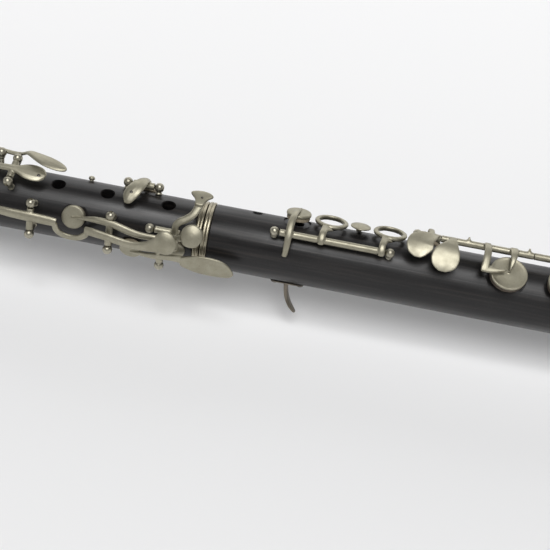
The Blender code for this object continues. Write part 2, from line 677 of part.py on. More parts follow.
def octave_key():
    lever = bar([
        (-143, 180, 12.9, 0.9, 0.9), (-138, 180, 13.6, 1.8, 1.0), (-132, 180, 14.2, 2.4, 1.2),
        (-128, 180, 14.6, 2.6, 1.3), (-122, 180, 15.0, 2.8, 1.2), (-118, 180, 15.2, 3.6, 1.1),
    ])
    touch = plate((-114.5, 180, 15.3), oval(9.5, 6.4), 1.1, 0.4)
    head, _ = cup(*UPPER_PADS["octave"][:5])
    start, end = saddle(OCTAVE_X, OCTAVE_ANGLES, OCTAVE_AXLE_R)
    round_tube_key("octave_key", start, end, [lever, touch, head])
    ground = upper_radius(OCTAVE_X)
    saddle_posts("octave_posts", OCTAVE_X, OCTAVE_ANGLES, OCTAVE_AXLE_R, ground)


def finger_ring(x):
    """A raised ring round a finger hole."""
    profile = [(-0.9, 4.9), (-0.5, 6.1), (0.5, 6.3), (0.9, 5.7), (0.8, 4.8), (0, 4.6)]
    return turned(at(x, LOWER_TURN, 14.0), outward(LOWER_TURN), profile, 24, ring=True)


def ring_key():
    pieces = []
    for x in LOWER_HOLES[1:]:
        pieces.append(finger_ring(x))
        pieces.append(bar([
            (x - 2.7, 28, 15.9, 2.2, 1.1), (x - 2.7, 22, 16.8, 2.4, 1.2), (x - 2.5, 14, 17.0, 2.5, 1.2),
            (x - 2.0, 6, 16.3, 3.2, 1.2), (x - 1.2, 0, 15.3, 5.0, 1.2), (x - 0.7, -4, 14.7, 6.4, 1.1),
        ]))
    pieces.append(bar([
        (31.4, 54, 13.0, 1.9, 1.0), (31.6, 45, 14.3, 2.1, 1.1), (31.7, 33, 16.1, 2.3, 1.2),
        (31.7, 22, 17.1, 2.5, 1.3), (31.8, 10, 17.5, 2.5, 1.2), (32.3, -2, 17.6, 2.2, 1.1),
        (32.9, -13, 17.1, 1.6, 1.0), (33.5, -22, 16.1, 0.9, 0.9),
    ]))
    pieces.append(cup(*LOWER_PADS["ring"][:5])[0])
    start, end = at(28.2, RING_ANGLE, RING_RADIUS), at(67.0, RING_ANGLE, RING_RADIUS)
    round_tube_key("ring_key", start, end, pieces)
    rod_posts("ring_posts", [(x, RING_ANGLE, RING_RADIUS) for x in (26.3, 68.9)], LOWER_R)


def button_key():
    x = 57.2
    profile = [(0, 0), (0, 3.6), (0.4, 3.9), (0.8, 3.6), (1.4, 1.6), (1.5, 0)]
    button = turned(at(x, LOWER_TURN, 14.1), outward(LOWER_TURN), profile, 16)
    arm = bar([
        (x, -22, 13.75, 1.8, 1.1), (x, -35, 13.7, 2.0, 1.1), (x, -48, 13.6, 2.2, 1.1),
        (x, -60, 13.6, 2.2, 1.1), (x, -72, 13.9, 2.2, 1.1), (x, -83, 15.2, 2.2, 1.2),
        (x, -95, 16.9, 2.4, 1.2), (x, -107, 16.4, 2.2, 1.1), (x, -118, 15.4, 1.8, 1.0),
        (x, -129, 14.7, 1.0, 0.9),
    ])
    head, _ = cup(*LOWER_PADS["button"][:5])
    start, end = at(x - 5.2, BUTTON_ANGLE, BUTTON_RADIUS), at(x + 5.2, BUTTON_ANGLE, BUTTON_RADIUS)
    round_tube_key("button_key", start, end, [button, arm, head])
    rod_posts("button_posts", [(x + dx, BUTTON_ANGLE, BUTTON_RADIUS) for dx in (-7.1, 7.1)], LOWER_R)


def foot_tube(start, end):
    return at(start, FOOT_ANGLE, FOOT_RADIUS), at(end, FOOT_ANGLE, FOOT_RADIUS)


def e_flat_key():
    arm = bar([
        (84.4, -17, 18.2, 2.4, 1.2), (84.2, -9, 18.7, 2.8, 1.2), (82.6, 0, 18.8, 4.4, 1.1),
        (81, 6, 18.6, 5.5, 1.0),
    ])
    touch = plate((79.4, 10.5, 18.4), oval(10.2, 8.4, turn=-32), 1.1, -0.5)
    far_arm = bar([
        (83.2, -17, 17.9, 2.2, 1.2), (83.2, -28, 17.9, 2.2, 1.2), (83.2, -42, 17.2, 2.0, 1.1), (83.2, -63.5, 14.6, 1.2, 0.9),
    ])
    head, _ = cup(*LOWER_PADS["e_flat"][:5])
    round_tube_key("e_flat_key", *foot_tube(79.9, 86.4), [arm, touch, far_arm, head])


def low_c_lever():
    arm = bar([
        (91.2, -17, 18.2, 2.4, 1.2), (91.1, -10, 18.9, 2.6, 1.2), (90.4, -2, 19.0, 4.0, 1.1),
        (89.8, 5, 18.8, 6.2, 1.0),
    ])
    touch = plate((89.1, 17.5, 18.3), oval(10.0, 11.4), 1.1, -0.6)
    hook = bar([
        (103.4, -17, 18.2, 2.6, 1.2), (103.4, -8, 18.8, 2.6, 1.3), (103.2, 4, 18.6, 2.6, 1.3),
        (102.9, 14, 18.1, 2.6, 1.3), (102.8, 19.5, 17.8, 2.8, 1.3), (104.4, 20.4, 17.6, 2.8, 1.2),
        (107, 19, 17.5, 2.4, 1.1), (109.8, 16.2, 17.5, 1.2, 1.0), (110.9, 15, 17.5, 0.8, 0.9),
    ])
    round_tube_key("low_c_lever", *foot_tube(86.8, 105.1), [arm, touch, hook])


def low_c_key():
    arm = bar([
        (113.2, -17, 18.2, 2.4, 1.2), (113.2, -6, 18.0, 2.4, 1.2), (113.0, 4, 16.9, 2.0, 1.1),
        (112.7, 11, 15.9, 1.4, 1.0), (112.5, 16, 14.7, 0.9, 0.9),
    ])
    head, _ = cup(*LOWER_PADS["low_c"][:5], CUP_LOW)
    opened(round_tube_key("low_c_key", *foot_tube(105.5, 120.9), [arm, head]))


def low_b_key():
    arm = bar([
        (133.6, -17, 18.2, 2.4, 1.2), (133.6, -6, 18.0, 2.4, 1.2), (133.6, 4, 16.9, 2.0, 1.1),
        (133.6, 11, 15.9, 1.4, 1.0), (133.6, 16, 14.8, 0.9, 0.9),
    ])
    head, _ = cup(*LOWER_PADS["low_b"][:5], CUP_LOW)
    touch_arm = bar([
        (146, -17, 18.2, 2.4, 1.2), (146, -8, 18.4, 2.6, 1.2), (146, 2, 18.3, 3.4, 1.1),
        (146, 9, 17.9, 5.0, 1.0),
    ])
    touch = plate((146, 16, 17.7), oval(8.4, 9.2), 1.1, -0.4)
    opened(round_tube_key("low_b_key", *foot_tube(121.4, 148.1), [arm, head, touch_arm, touch]))
    rod_posts("foot_posts", [(x, FOOT_ANGLE, FOOT_RADIUS) for x in (77.9, 150.1)], lower_radius(150))


THUMB_ANGLE = LOWER_TURN + 180
THUMB_X = 34.0


def thumb_rest():
    spread = range(-24, 25, 8)
    base = bar([(THUMB_X, THUMB_ANGLE + turn, 12.55, 13.2, 0.6) for turn in spread])
    hook = bar([
        (THUMB_X - 0.3, THUMB_ANGLE, 12.65, 5.6, 1.8), (THUMB_X, THUMB_ANGLE, 15.5, 5.6, 1.6),
        (THUMB_X + 1.0, THUMB_ANGLE, 18.6, 5.4, 1.5), (THUMB_X + 3.0, THUMB_ANGLE, 21.6, 4.8, 1.3),
        (THUMB_X + 6.2, THUMB_ANGLE, 24.3, 3.0, 1.0),
    ], side=around(THUMB_ANGLE))
    return finish(union(base, hook), "thumb_rest", "nickel")


def screw(name, x, angle, radius):
    """A small domed screw head."""
    profile = [(0, 0), (0, 1.5), (0.4, 1.5), (0.8, 0.9), (0.9, 0)]
    return finish(turned(at(x, angle, radius), outward(angle), profile, 12), name, "steel")


def guide_pin():
    """A low pin on the far side that carries a spring."""
    profile = [(0, 0), (0, 0.9), (0.5, 1.1), (1.2, 1.05), (1.8, 0.6), (2.0, 0)]
    obj = turned(at(-45.5, -35, UPPER_R + GAP), outward(-35), profile, 12)
    return finish(obj, "guide_pin", "steel")


def main():
    for old in list(bpy.data.objects):
        bpy.data.objects.remove(old)
    upper_joint()
    lower_joint()
    bell()
    rings_and_corks()
    reed()
    thumb_rest()
    screw("thumb_rest_screw_front", THUMB_X - 4.8, THUMB_ANGLE, 13.05)
    screw("thumb_rest_screw_back", THUMB_X + 4.8, THUMB_ANGLE, 13.05)
    guide_pin()
    pads()
    for make_key in (
        short_side_key, long_side_key, fan_key, spoon_key, leaf_key, upper_touch_key, lower_touch_key,
        octave_key, ring_key, button_key, e_flat_key, low_c_lever, low_c_key, low_b_key,
    ):
        make_key()


main()
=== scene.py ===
"""Looks for the oboe: fine versions of its wood and keywork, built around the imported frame.

Places on the tube are (x, angle, radius) in millimetres and degrees, as in the frame's own design:
x from the plane where the wooden joints meet, angle round the bore from +Z towards -Y.
"""

import json
import math

import bmesh
import bpy
from mathutils import Matrix, Vector


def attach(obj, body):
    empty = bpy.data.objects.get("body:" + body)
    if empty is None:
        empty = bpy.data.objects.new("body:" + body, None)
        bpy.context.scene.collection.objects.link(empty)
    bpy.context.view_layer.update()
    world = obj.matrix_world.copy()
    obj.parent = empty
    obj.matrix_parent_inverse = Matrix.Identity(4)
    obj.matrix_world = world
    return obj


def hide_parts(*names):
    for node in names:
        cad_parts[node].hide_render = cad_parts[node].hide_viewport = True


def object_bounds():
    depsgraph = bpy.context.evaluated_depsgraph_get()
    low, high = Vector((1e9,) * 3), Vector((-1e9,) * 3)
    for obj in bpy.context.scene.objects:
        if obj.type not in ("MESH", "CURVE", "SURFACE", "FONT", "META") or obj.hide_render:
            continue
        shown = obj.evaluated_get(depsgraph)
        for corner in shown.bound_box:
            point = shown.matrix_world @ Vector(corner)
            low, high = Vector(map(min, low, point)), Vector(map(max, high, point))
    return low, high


MM = 0.001
ALONG = Vector((1, 0, 0))

# Design lengths in millimetres and degrees.
JOINT_X = -37.5  # where the wooden joints meet, from the middle of the whole length
TOP_X = -235.0  # the top end of the upper joint
UPPER_RADIUS = 11.75  # the wood's surface on each joint
LOWER_RADIUS = 12.0
UPPER_CUT = 2.6  # where the cutters of the holes start, inside the bore
LOWER_CUT = 3.5
LOWER_TURN = -26.0  # the lower joint's line of finger holes
PAD_GAP = 0.3  # from a seat to its pad
CUP_GAP = 0.15  # from a pad to its cup
POST_GAP = 0.15  # from the wood to the foot of a post
BALL_RADIUS = 1.8  # the head of a post
BALL_REACH = 1.9  # from the middle of a post to its hinge tube
AXLE = 17.5  # the radius of the side keys' rods
FOOT_ANGLE, FOOT_RADIUS = -17.0, 17.0  # the foot rod's place
OPEN_SWING = -7.0  # how far an open-standing foot key is swung up
THUMB_X = 34.0

# Edge lengths of the skins that keys and posts are melted into.
KEY_FINE = 0.2
POST_FINE = 0.15
WOOD_SIDES = 144

# Light and camera. The world is bright low down and dark overhead.
LEVEL_LIGHT = 0.86
HORIZON_LIGHT = 0.85
ZENITH_LIGHT = 0.1
SUN_LIGHT, SUN_SPREAD = 1.92, 42
SPOT_LIGHT, SPOT_SPREAD = 0.3, 9
PANEL_LIGHT = 5.5
FLOOR_HALF = 6.0
FLOOR_GAP = 0.0004
SENSOR_WIDTH = 36.0
LENS = 65.4545

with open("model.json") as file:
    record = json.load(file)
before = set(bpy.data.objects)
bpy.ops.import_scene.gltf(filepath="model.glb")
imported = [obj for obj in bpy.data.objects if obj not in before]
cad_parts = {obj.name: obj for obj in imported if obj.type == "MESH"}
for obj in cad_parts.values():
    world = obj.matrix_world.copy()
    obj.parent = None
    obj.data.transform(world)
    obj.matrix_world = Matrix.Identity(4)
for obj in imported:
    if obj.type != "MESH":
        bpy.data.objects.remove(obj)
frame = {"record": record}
cad_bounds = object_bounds()


def outward(angle):
    """The way out of the bore at an angle."""
    turn = math.radians(angle)
    return Vector((0, -math.sin(turn), math.cos(turn)))


def around(angle):
    """The way round the bore at an angle."""
    turn = math.radians(angle)
    return Vector((0, -math.cos(turn), -math.sin(turn)))


def at(x, angle, radius):
    """A place on the tube as a point in millimetres."""
    return ALONG * (JOINT_X + x) + outward(angle) * radius


# Meshes -----------------------------------------------------------------------------------------


def solid(vertices, faces):
    """A closed mesh from millimetre points, with its faces pointing out."""
    mesh = bpy.data.meshes.new("part")
    mesh.from_pydata([Vector(v) * MM for v in vertices], [], faces)
    build = bmesh.new()
    build.from_mesh(mesh)
    bmesh.ops.recalc_face_normals(build, faces=build.faces)
    build.to_mesh(mesh)
    build.free()
    obj = bpy.data.objects.new("part", mesh)
    bpy.context.scene.collection.objects.link(obj)
    return obj


def rounded(points, radius, steps=3):
    """A profile with its inner corners rounded off."""
    result = [points[0]]
    for before, here, after in zip(points, points[1:], points[2:]):
        corner = Vector(here)
        back, ahead = Vector(before) - corner, Vector(after) - corner
        reach = min(radius, back.length * 0.45, ahead.length * 0.45)
        first, last = corner + back.normalized() * reach, corner + ahead.normalized() * reach
        for step in range(steps + 1):
            share = step / steps
            bend = first * (1 - share) ** 2 + corner * 2 * share * (1 - share) + last * share**2
            result.append(tuple(bend))
    result.append(points[-1])
    return result


def turned(origin, axis, profile, sides=48, ring=False):
    """A profile of (height, radius) points turned about an axis; ring closes it on itself."""
    axis = Vector(axis).normalized()
    side = Vector((0, 0, 1)) if abs(axis.x) > 0.999 else axis.orthogonal().normalized()
    third = axis.cross(side)
    vertices, rows = [], []
    for height, radius in profile:
        count = 1 if radius < 1e-6 else sides
        rows.append(list(range(len(vertices), len(vertices) + count)))
        for step in range(count):
            turn = 2 * math.pi * step / sides
            spoke = side * math.cos(turn) + third * math.sin(turn)
            vertices.append(origin + axis * height + spoke * radius)
    faces = []
    pairs = list(zip(rows, rows[1:] + rows[:1]))
    for low, high in pairs if ring else pairs[:-1]:
        for step in range(sides):
            corners = [low[step % len(low)], low[(step + 1) % len(low)]]
            corners += [high[(step + 1) % len(high)], high[step % len(high)]]
            faces.append(list(dict.fromkeys(corners)))
    return solid(vertices, faces)


def rod(start, end, radius, sides):
    """A plain round rod between two points."""
    length = (end - start).length
    return turned(start, end - start, [(0, 0), (0, radius), (length, radius), (length, 0)], sides)


def catmull(points, spans, closed=False):
    """A smooth line of number lists through the given ones."""
    count = len(points)
    result = []
    for index in range(count if closed else count - 1):
        if closed:
            quad = [points[(index + k) % count] for k in (-1, 0, 1, 2)]
        else:
            quad = [points[max(0, min(count - 1, index + k))] for k in (-1, 0, 1, 2)]
        for step in range(spans):
            t = step / spans
            row = []
            for a, b, c, d in zip(*quad):
                bend, twist = 2 * a - 5 * b + 4 * c - d, 3 * b - a - 3 * c + d
                row.append(0.5 * (2 * b + (c - a) * t + bend * t * t + twist * t**3))
            result.append(row)
    if not closed:
        result.append(list(points[-1]))
    return result


def strap(stations, side=None, crown=0.0, spans=5, sections=14, power=2.6):
    """A smooth bar through (x, angle, radius, width, thickness) stations, crowned on top."""
    rows = catmull(stations, spans)
    centres = [at(*row[:3]) for row in rows]
    vertices, faces = [], []
    for index, (_, angle, _, width, thick) in enumerate(rows):
        before = centres[max(index - 1, 0)]
        after = centres[min(index + 1, len(centres) - 1)]
        along = (after - before).normalized()
        across = side.copy() if side else along.cross(outward(angle))
        across.normalize()
        lift = across.cross(along).normalized()
        if lift.dot(outward(angle)) < 0 and not side:
            lift = -lift
        for step in range(sections):
            turn = 2 * math.pi * (step + 0.5) / sections
            c, s = math.cos(turn), math.sin(turn)
            u = math.copysign(abs(c) ** (2 / power), c)
            v = math.copysign(abs(s) ** (2 / power), s)
            bulge = crown * (1 - u * u)
            sideways, upward = across * (u * width / 2), lift * (v * thick / 2 + bulge)
            vertices.append(centres[index] + sideways + upward)
    for index in range(len(rows) - 1):
        base = sections * index
        for step in range(sections):
            after = (step + 1) % sections
            faces.append([base + step, base + after, base + sections + after, base + sections + step])
    last = len(vertices) - sections
    faces.append(list(range(sections))[::-1])
    faces.append([last + step for step in range(sections)])
    return solid(vertices, faces)


def dish(place, outline, thick, dome):
    """A touch: a smooth outline of (along, around) points, domed or hollowed, with a round rim."""
    angle = place[1]
    edge = catmull([list(p) for p in outline], 4, closed=True)
    centre, normal, across = at(*place), outward(angle), around(angle)
    count = len(edge)
    half = thick / 2
    mid_u = sum(p[0] for p in edge) / count
    mid_v = sum(p[1] for p in edge) / count
    profile = [(0.0, half), (0.35, half), (0.62, half), (0.8, half), (0.9, half)]
    profile += [(0.96, half * 0.86), (0.99, half * 0.5)]
    profile += [(1.0, 0.0)] + [(s, -h) for s, h in reversed(profile)]
    vertices, rows = [], []
    for scale, height in profile:
        ring = edge if scale else [(mid_u, mid_v)]
        rows.append(list(range(len(vertices), len(vertices) + len(ring))))
        for u, v in ring:
            rise = dome * (1 - scale * scale) + height
            along_part = ALONG * (mid_u + (u - mid_u) * scale)
            around_part = across * (mid_v + (v - mid_v) * scale)
            vertices.append(centre + along_part + around_part + normal * rise)
    faces = []
    for low, high in zip(rows, rows[1:]):
        for step in range(count):
            corners = [low[step % len(low)], low[(step + 1) % len(low)]]
            corners += [high[(step + 1) % len(high)], high[step % len(high)]]
            faces.append(list(dict.fromkeys(corners)))
    return solid(vertices, faces)


def oval(length, width, turn=0.0, count=12):
    """The outline of an oval touch, turned in its own plane."""
    outline = []
    c, s = math.cos(math.radians(turn)), math.sin(math.radians(turn))
    for step in range(count):
        phase = 2 * math.pi * step / count
        u, v = math.cos(phase) * length / 2, math.sin(phase) * width / 2
        outline.append((u * c - v * s, u * s + v * c))
    return outline


def evaluated(obj):
    """Apply an object's modifiers for good."""
    graph = bpy.context.evaluated_depsgraph_get()
    mesh = bpy.data.meshes.new_from_object(obj.evaluated_get(graph))
    obj.modifiers.clear()
    obj.data = mesh


def gathered(parts):
    """Several meshes in one object."""
    build = bmesh.new()
    for part in parts:
        build.from_mesh(part.data)
    build.to_mesh(parts[0].data)
    build.free()
    for part in parts[1:]:
        bpy.data.objects.remove(part)
    return parts[0]


def fused(parts, fine=KEY_FINE, soften=3):
    """Solids that pass through each other made into one skin, with soft solder fillets."""
    obj = gathered(parts)
    melt = obj.modifiers.new("melt", "REMESH")
    melt.mode = "VOXEL"
    melt.voxel_size = fine * MM
    ease = obj.modifiers.new("ease", "SMOOTH")
    ease.factor = 0.5
    ease.iterations = soften
    evaluated(obj)
    return obj


def combined(obj, other, operation):
    """One closed skin cut by another, or joined with it; the other one is used up."""
    modifier = obj.modifiers.new("combine", "BOOLEAN")
    modifier.operation = operation
    modifier.solver = "EXACT"
    modifier.object = other
    evaluated(obj)
    bpy.data.objects.remove(other)
    return obj


def carved(obj, cutters):
    """Grooves and holes cut into a finished skin."""
    return combined(obj, gathered(cutters), "DIFFERENCE")


def united(cutters):
    """Overlapping cutters joined into one closed skin."""
    for other in cutters[1:]:
        combined(cutters[0], other, "UNION")
    return cutters[0]


# Materials --------------------------------------------------------------------------------------


def nodes_of(name):
    """A new material with its node tree and its shader."""
    made = bpy.data.materials.new(name)
    made.use_nodes = True
    return made, made.node_tree, made.node_tree.nodes["Principled BSDF"]


def noise(tree, scale, detail=4.0, stretch=None, rough=0.55):
    """Noise in object space, with scale per metre."""
    place = tree.nodes.new("ShaderNodeTexCoord")
    made = tree.nodes.new("ShaderNodeTexNoise")
    made.inputs["Scale"].default_value = scale
    made.inputs["Detail"].default_value = detail
    made.inputs["Roughness"].default_value = rough
    source = place.outputs["Object"]
    if stretch:
        mapping = tree.nodes.new("ShaderNodeMapping")
        mapping.inputs["Scale"].default_value = stretch
        tree.links.new(source, mapping.inputs["Vector"])
        source = mapping.outputs["Vector"]
    tree.links.new(source, made.inputs["Vector"])
    return made.outputs["Fac"]


def ramp(tree, source, stops):
    """A colour ramp of (place, colour) stops; numbers make greys."""
    made = tree.nodes.new("ShaderNodeValToRGB")
    elements = made.color_ramp.elements
    while len(elements) < len(stops):
        elements.new(0.5)
    for element, (place, colour) in zip(elements, stops):
        element.position = place
        if isinstance(colour, (int, float)):
            colour = (colour, colour, colour)
        element.color = (*colour, 1)
    tree.links.new(source, made.inputs["Fac"])
    return made.outputs["Color"]


def mix(tree, factor, first, second):
    """Two colours mixed by a mask; each colour is a tuple or a socket."""
    made = tree.nodes.new("ShaderNodeMix")
    made.data_type = "RGBA"
    sockets = [s for s in made.inputs if s.type == "RGBA"]
    for socket, value in zip(sockets, (first, second)):
        if isinstance(value, tuple):
            socket.default_value = (*value, 1)
        else:
            tree.links.new(value, socket)
    tree.links.new(factor, made.inputs[0])
    return [s for s in made.outputs if s.type == "RGBA"][0]


def bump(tree, shader, source, strength, distance):
    """Relief of a height in millimetres, laid over any that is there already."""
    made = tree.nodes.new("ShaderNodeBump")
    made.inputs["Strength"].default_value = strength
    made.inputs["Distance"].default_value = distance * MM
    tree.links.new(source, made.inputs["Height"])
    previous = shader.inputs["Normal"].links
    if previous:
        tree.links.new(previous[0].from_socket, made.inputs["Normal"])
    tree.links.new(made.outputs["Normal"], shader.inputs["Normal"])


# Brown-grey for dirt specks, and for tarnish with painted shade in the metal's hollows.
METAL_DIRT_AND_SHADE = (0.16, 0.14, 0.10)
WOOD_DARK, WOOD_MIDDLE, WOOD_LIGHT = (0.005, 0.0046, 0.0048), (0.011, 0.010, 0.0098), (0.026, 0.0215, 0.0195)
WOOD_PATCH, WOOD_DUST = (0.017, 0.016, 0.0165), (0.2, 0.19, 0.18)
CANE_DARK, CANE_LIGHT = (0.52, 0.36, 0.13), (0.78, 0.61, 0.31)


def metal(name, bright, dull, smooth, worn):
    """Old plated metal: bright where fingers rub, duller in cloudy patches, brown in its corners from tarnish
    and painted shade.
    """
    made, tree, shader = nodes_of(name)
    shader.inputs["Metallic"].default_value = 1.0
    clouds = noise(tree, 210, 6, rough=0.6)
    specks = noise(tree, 2200, 3)
    mask = ramp(tree, clouds, [(0.36, 0.0), (0.66, 1.0)])
    colour = mix(tree, mask, bright, dull)
    colour = mix(tree, ramp(tree, specks, [(0.60, 0.0), (0.78, 0.55)]), colour, METAL_DIRT_AND_SHADE)
    geometry = tree.nodes.new("ShaderNodeNewGeometry")
    # Hollows (low pointiness) go brown: tarnish and painted shade.
    corners = ramp(tree, geometry.outputs["Pointiness"], [(0.40, 0.8), (0.485, 0.0)])
    colour = mix(tree, corners, colour, METAL_DIRT_AND_SHADE)
    tree.links.new(colour, shader.inputs["Base Color"])
    rough = ramp(tree, clouds, [(0.3, smooth), (0.7, worn)])
    tree.links.new(rough, shader.inputs["Roughness"])
    scratches = noise(tree, 900, 5, stretch=(0.25, 1.0, 1.0), rough=0.7)
    bump(tree, shader, scratches, 0.25, 0.02)
    bump(tree, shader, clouds, 0.3, 0.05)
    return made


def blackwood(name):
    """Oiled African blackwood: nearly black, fine brown streaks and pores along the bore, dusty."""
    made, tree, shader = nodes_of(name)
    streaks = noise(tree, 900, 5, stretch=(0.03, 1.0, 1.0), rough=0.6)
    broad = noise(tree, 60, 4, stretch=(0.3, 1.0, 1.0))
    pores = noise(tree, 3600, 2, stretch=(0.06, 1.0, 1.0))
    dust = noise(tree, 2600, 4, rough=0.7)
    colour = ramp(tree, streaks, [(0.38, WOOD_DARK), (0.52, WOOD_MIDDLE), (0.66, WOOD_LIGHT)])
    colour = mix(tree, ramp(tree, broad, [(0.35, 0.0), (0.7, 0.5)]), colour, WOOD_PATCH)
    colour = mix(tree, ramp(tree, dust, [(0.57, 0.0), (0.74, 0.13)]), colour, WOOD_DUST)
    tree.links.new(colour, shader.inputs["Base Color"])
    rough = ramp(tree, broad, [(0.38, 0.28), (0.62, 0.46)])
    tree.links.new(rough, shader.inputs["Roughness"])
    shader.inputs["Specular IOR Level"].default_value = 0.38
    bump(tree, shader, pores, 0.25, 0.03)
    bump(tree, shader, streaks, 0.3, 0.03)
    return made


def soft_matter(name, first, second, scale, rough, depth):
    """Cork, skin or thread: two tones in small grain."""
    made, tree, shader = nodes_of(name)
    grain = noise(tree, scale, 5, rough=0.65)
    tree.links.new(ramp(tree, grain, [(0.32, first), (0.68, second)]), shader.inputs["Base Color"])
    shader.inputs["Roughness"].default_value = rough
    bump(tree, shader, grain, 0.6, depth)
    return made


def cane(name):
    """Dry cane, with fibres that run along the blades."""
    made, tree, shader = nodes_of(name)
    fibres = noise(tree, 2600, 4, stretch=(0.02, 1.0, 1.0))
    colour = ramp(tree, fibres, [(0.3, CANE_DARK), (0.7, CANE_LIGHT)])
    tree.links.new(colour, shader.inputs["Base Color"])
    shader.inputs["Roughness"].default_value = 0.5
    bump(tree, shader, fibres, 0.5, 0.03)
    return made


WOOD = blackwood("blackwood_oiled")
KEY_METAL = metal("nickel_silver_keys", (0.385, 0.363, 0.282), (0.315, 0.296, 0.226), 0.41, 0.53)
POST_METAL = metal("nickel_silver_posts", (0.42, 0.398, 0.318), (0.31, 0.29, 0.228), 0.33, 0.46)
RING_METAL = metal("nickel_silver_rings", (0.46, 0.42, 0.32), (0.31, 0.28, 0.205), 0.3, 0.44)
# The thumb rest's metal: a darker copy of the key metal, painted shade for the shade under the tube where it
# sits.
REST_METAL_PAINTED_SHADE = metal("silver_painted_shade", (0.24, 0.21, 0.17), (0.14, 0.125, 0.10), 0.34, 0.5)
STEEL = metal("old_steel", (0.12, 0.11, 0.10), (0.07, 0.065, 0.06), 0.35, 0.5)
BRASS = metal("satin_brass", (0.70, 0.51, 0.22), (0.5, 0.36, 0.16), 0.28, 0.4)
CORK = soft_matter("cork_fine", (0.30, 0.17, 0.08), (0.58, 0.40, 0.23), 1800, 0.85, 0.12)
SKIN = soft_matter("pad_skin", (0.21, 0.175, 0.12), (0.34, 0.29, 0.21), 900, 0.75, 0.05)
# A darkened copy of the pad skin: painted shade for the shadow under the open foot cups.
SKIN_PAINTED_SHADE = soft_matter("pad_skin_painted_shade", (0.045, 0.035, 0.026), (0.11, 0.085, 0.06), 900, 0.8, 0.05)
CANE = cane("dry_cane")
THREAD = soft_matter("waxed_thread", (0.18, 0.02, 0.02), (0.36, 0.05, 0.05), 3000, 0.6, 0.06)


def piece(obj, name, material, node, slot=None, sharp=38.0):
    """Name and finish a piece, and let it ride on a CAD node's body.

    It stands for that node and hides it, unless it is an extra piece with a slot of its own.
    """
    obj.name = name
    obj.data.name = name
    obj.data.materials.clear()
    obj.data.materials.append(material)
    obj.data.shade_smooth()
    obj.data.set_sharp_from_angle(angle=math.radians(sharp))
    record = frame["record"]
    body = next(b for b, names in record["behaviour"]["bodies"].items() if node in names)
    if slot is None:
        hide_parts(node)
        slot = next(s["material_slot"] for s in record["subparts"] if s["node"] == node)
    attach(obj, body)
    return obj


# Wood -------------------------------------------------------------------------------------------

UPPER_HOLES = (-56.0, -37.3, -14.2)
LOWER_HOLES = (18.5, 46.3, 68.4)
# Each pad's x, angle, seat radius from the bore's axis, own radius and thickness, and its tone hole's
# radius.
UPPER_PADS = {
    "short_side": (-47.2, 55.5, 11.1, 4.4, 1.5, 2.2),
    "long_side": (-84.0, 62.0, 11.0, 4.4, 1.5, 2.2),
    "fan": (-8.5, 79.0, 11.2, 3.6, 1.2, 1.8),
    "spoon": (-25.2, 95.4, 11.1, 4.2, 1.4, 2.0),
    "leaf": (-24.2, -64.0, 11.1, 4.0, 1.4, 2.0),
    "upper_touch": (-86.0, -54.0, 11.0, 4.2, 1.5, 2.0),
    "lower_touch": (-91.5, 4.0, 10.9, 4.2, 1.5, 2.0),
    "octave": (-143.0, 180.0, 9.7, 3.2, 1.3, 0.9),
}
LOWER_PADS = {
    "ring": (33.8, -25.0, 12.7, 4.7, 1.5, 2.6),
    "button": (57.2, -130.0, 11.3, 4.4, 1.5, 2.4),
    "e_flat": (83.2, -64.0, 11.1, 5.2, 1.6, 3.0),
    "low_c": (112.4, 17.5, 11.3, 6.9, 1.3, 4.2),
    "low_b": (133.6, 17.5, 11.4, 6.9, 1.3, 4.2),
}
PADS = {**UPPER_PADS, **LOWER_PADS}
RING_FLOOR = 11.2  # the ring key stands open, with its pad clear of the floor of its hole
WIDE_PADS = ("low_c", "low_b")
WIDE_PAD_EXTRA = 0.85  # they fill the hollow under a dished cup


def tube(outside, inside):
    """A turned tube from its outside and inside lines of (x, radius), its outer corners eased."""
    profile = rounded(outside, 0.35) + [(x, r) for x, r in reversed(inside)]
    return turned(at(0, 0, 0), ALONG, profile, WOOD_SIDES, ring=True)


def tone_hole(x, angle, floor, wide, bore, inner):
    """A cutter for a tone hole with a flat seat under its pad and a soft rim."""
    top = 16.0
    profile = [(inner, 0), (inner, bore), (floor - 0.35, bore), (floor, bore + 0.3)]
    profile += [(floor, wide), (top, wide), (top, 0)]
    return turned(at(x, angle, 0), outward(angle), profile, 40)


def finger_hole(x, angle, radius, surface, inner):
    """A cutter for a finger hole whose rim is eased where it meets the round of the tube."""
    profile = [(inner, 0), (inner, radius), (surface - 0.75, radius), (surface - 0.3, radius + 0.1)]
    profile += [(surface, radius + 0.34), (surface + 0.6, radius + 0.9), (surface + 0.6, 0)]
    return turned(at(x, angle, 0), outward(angle), profile, 48)


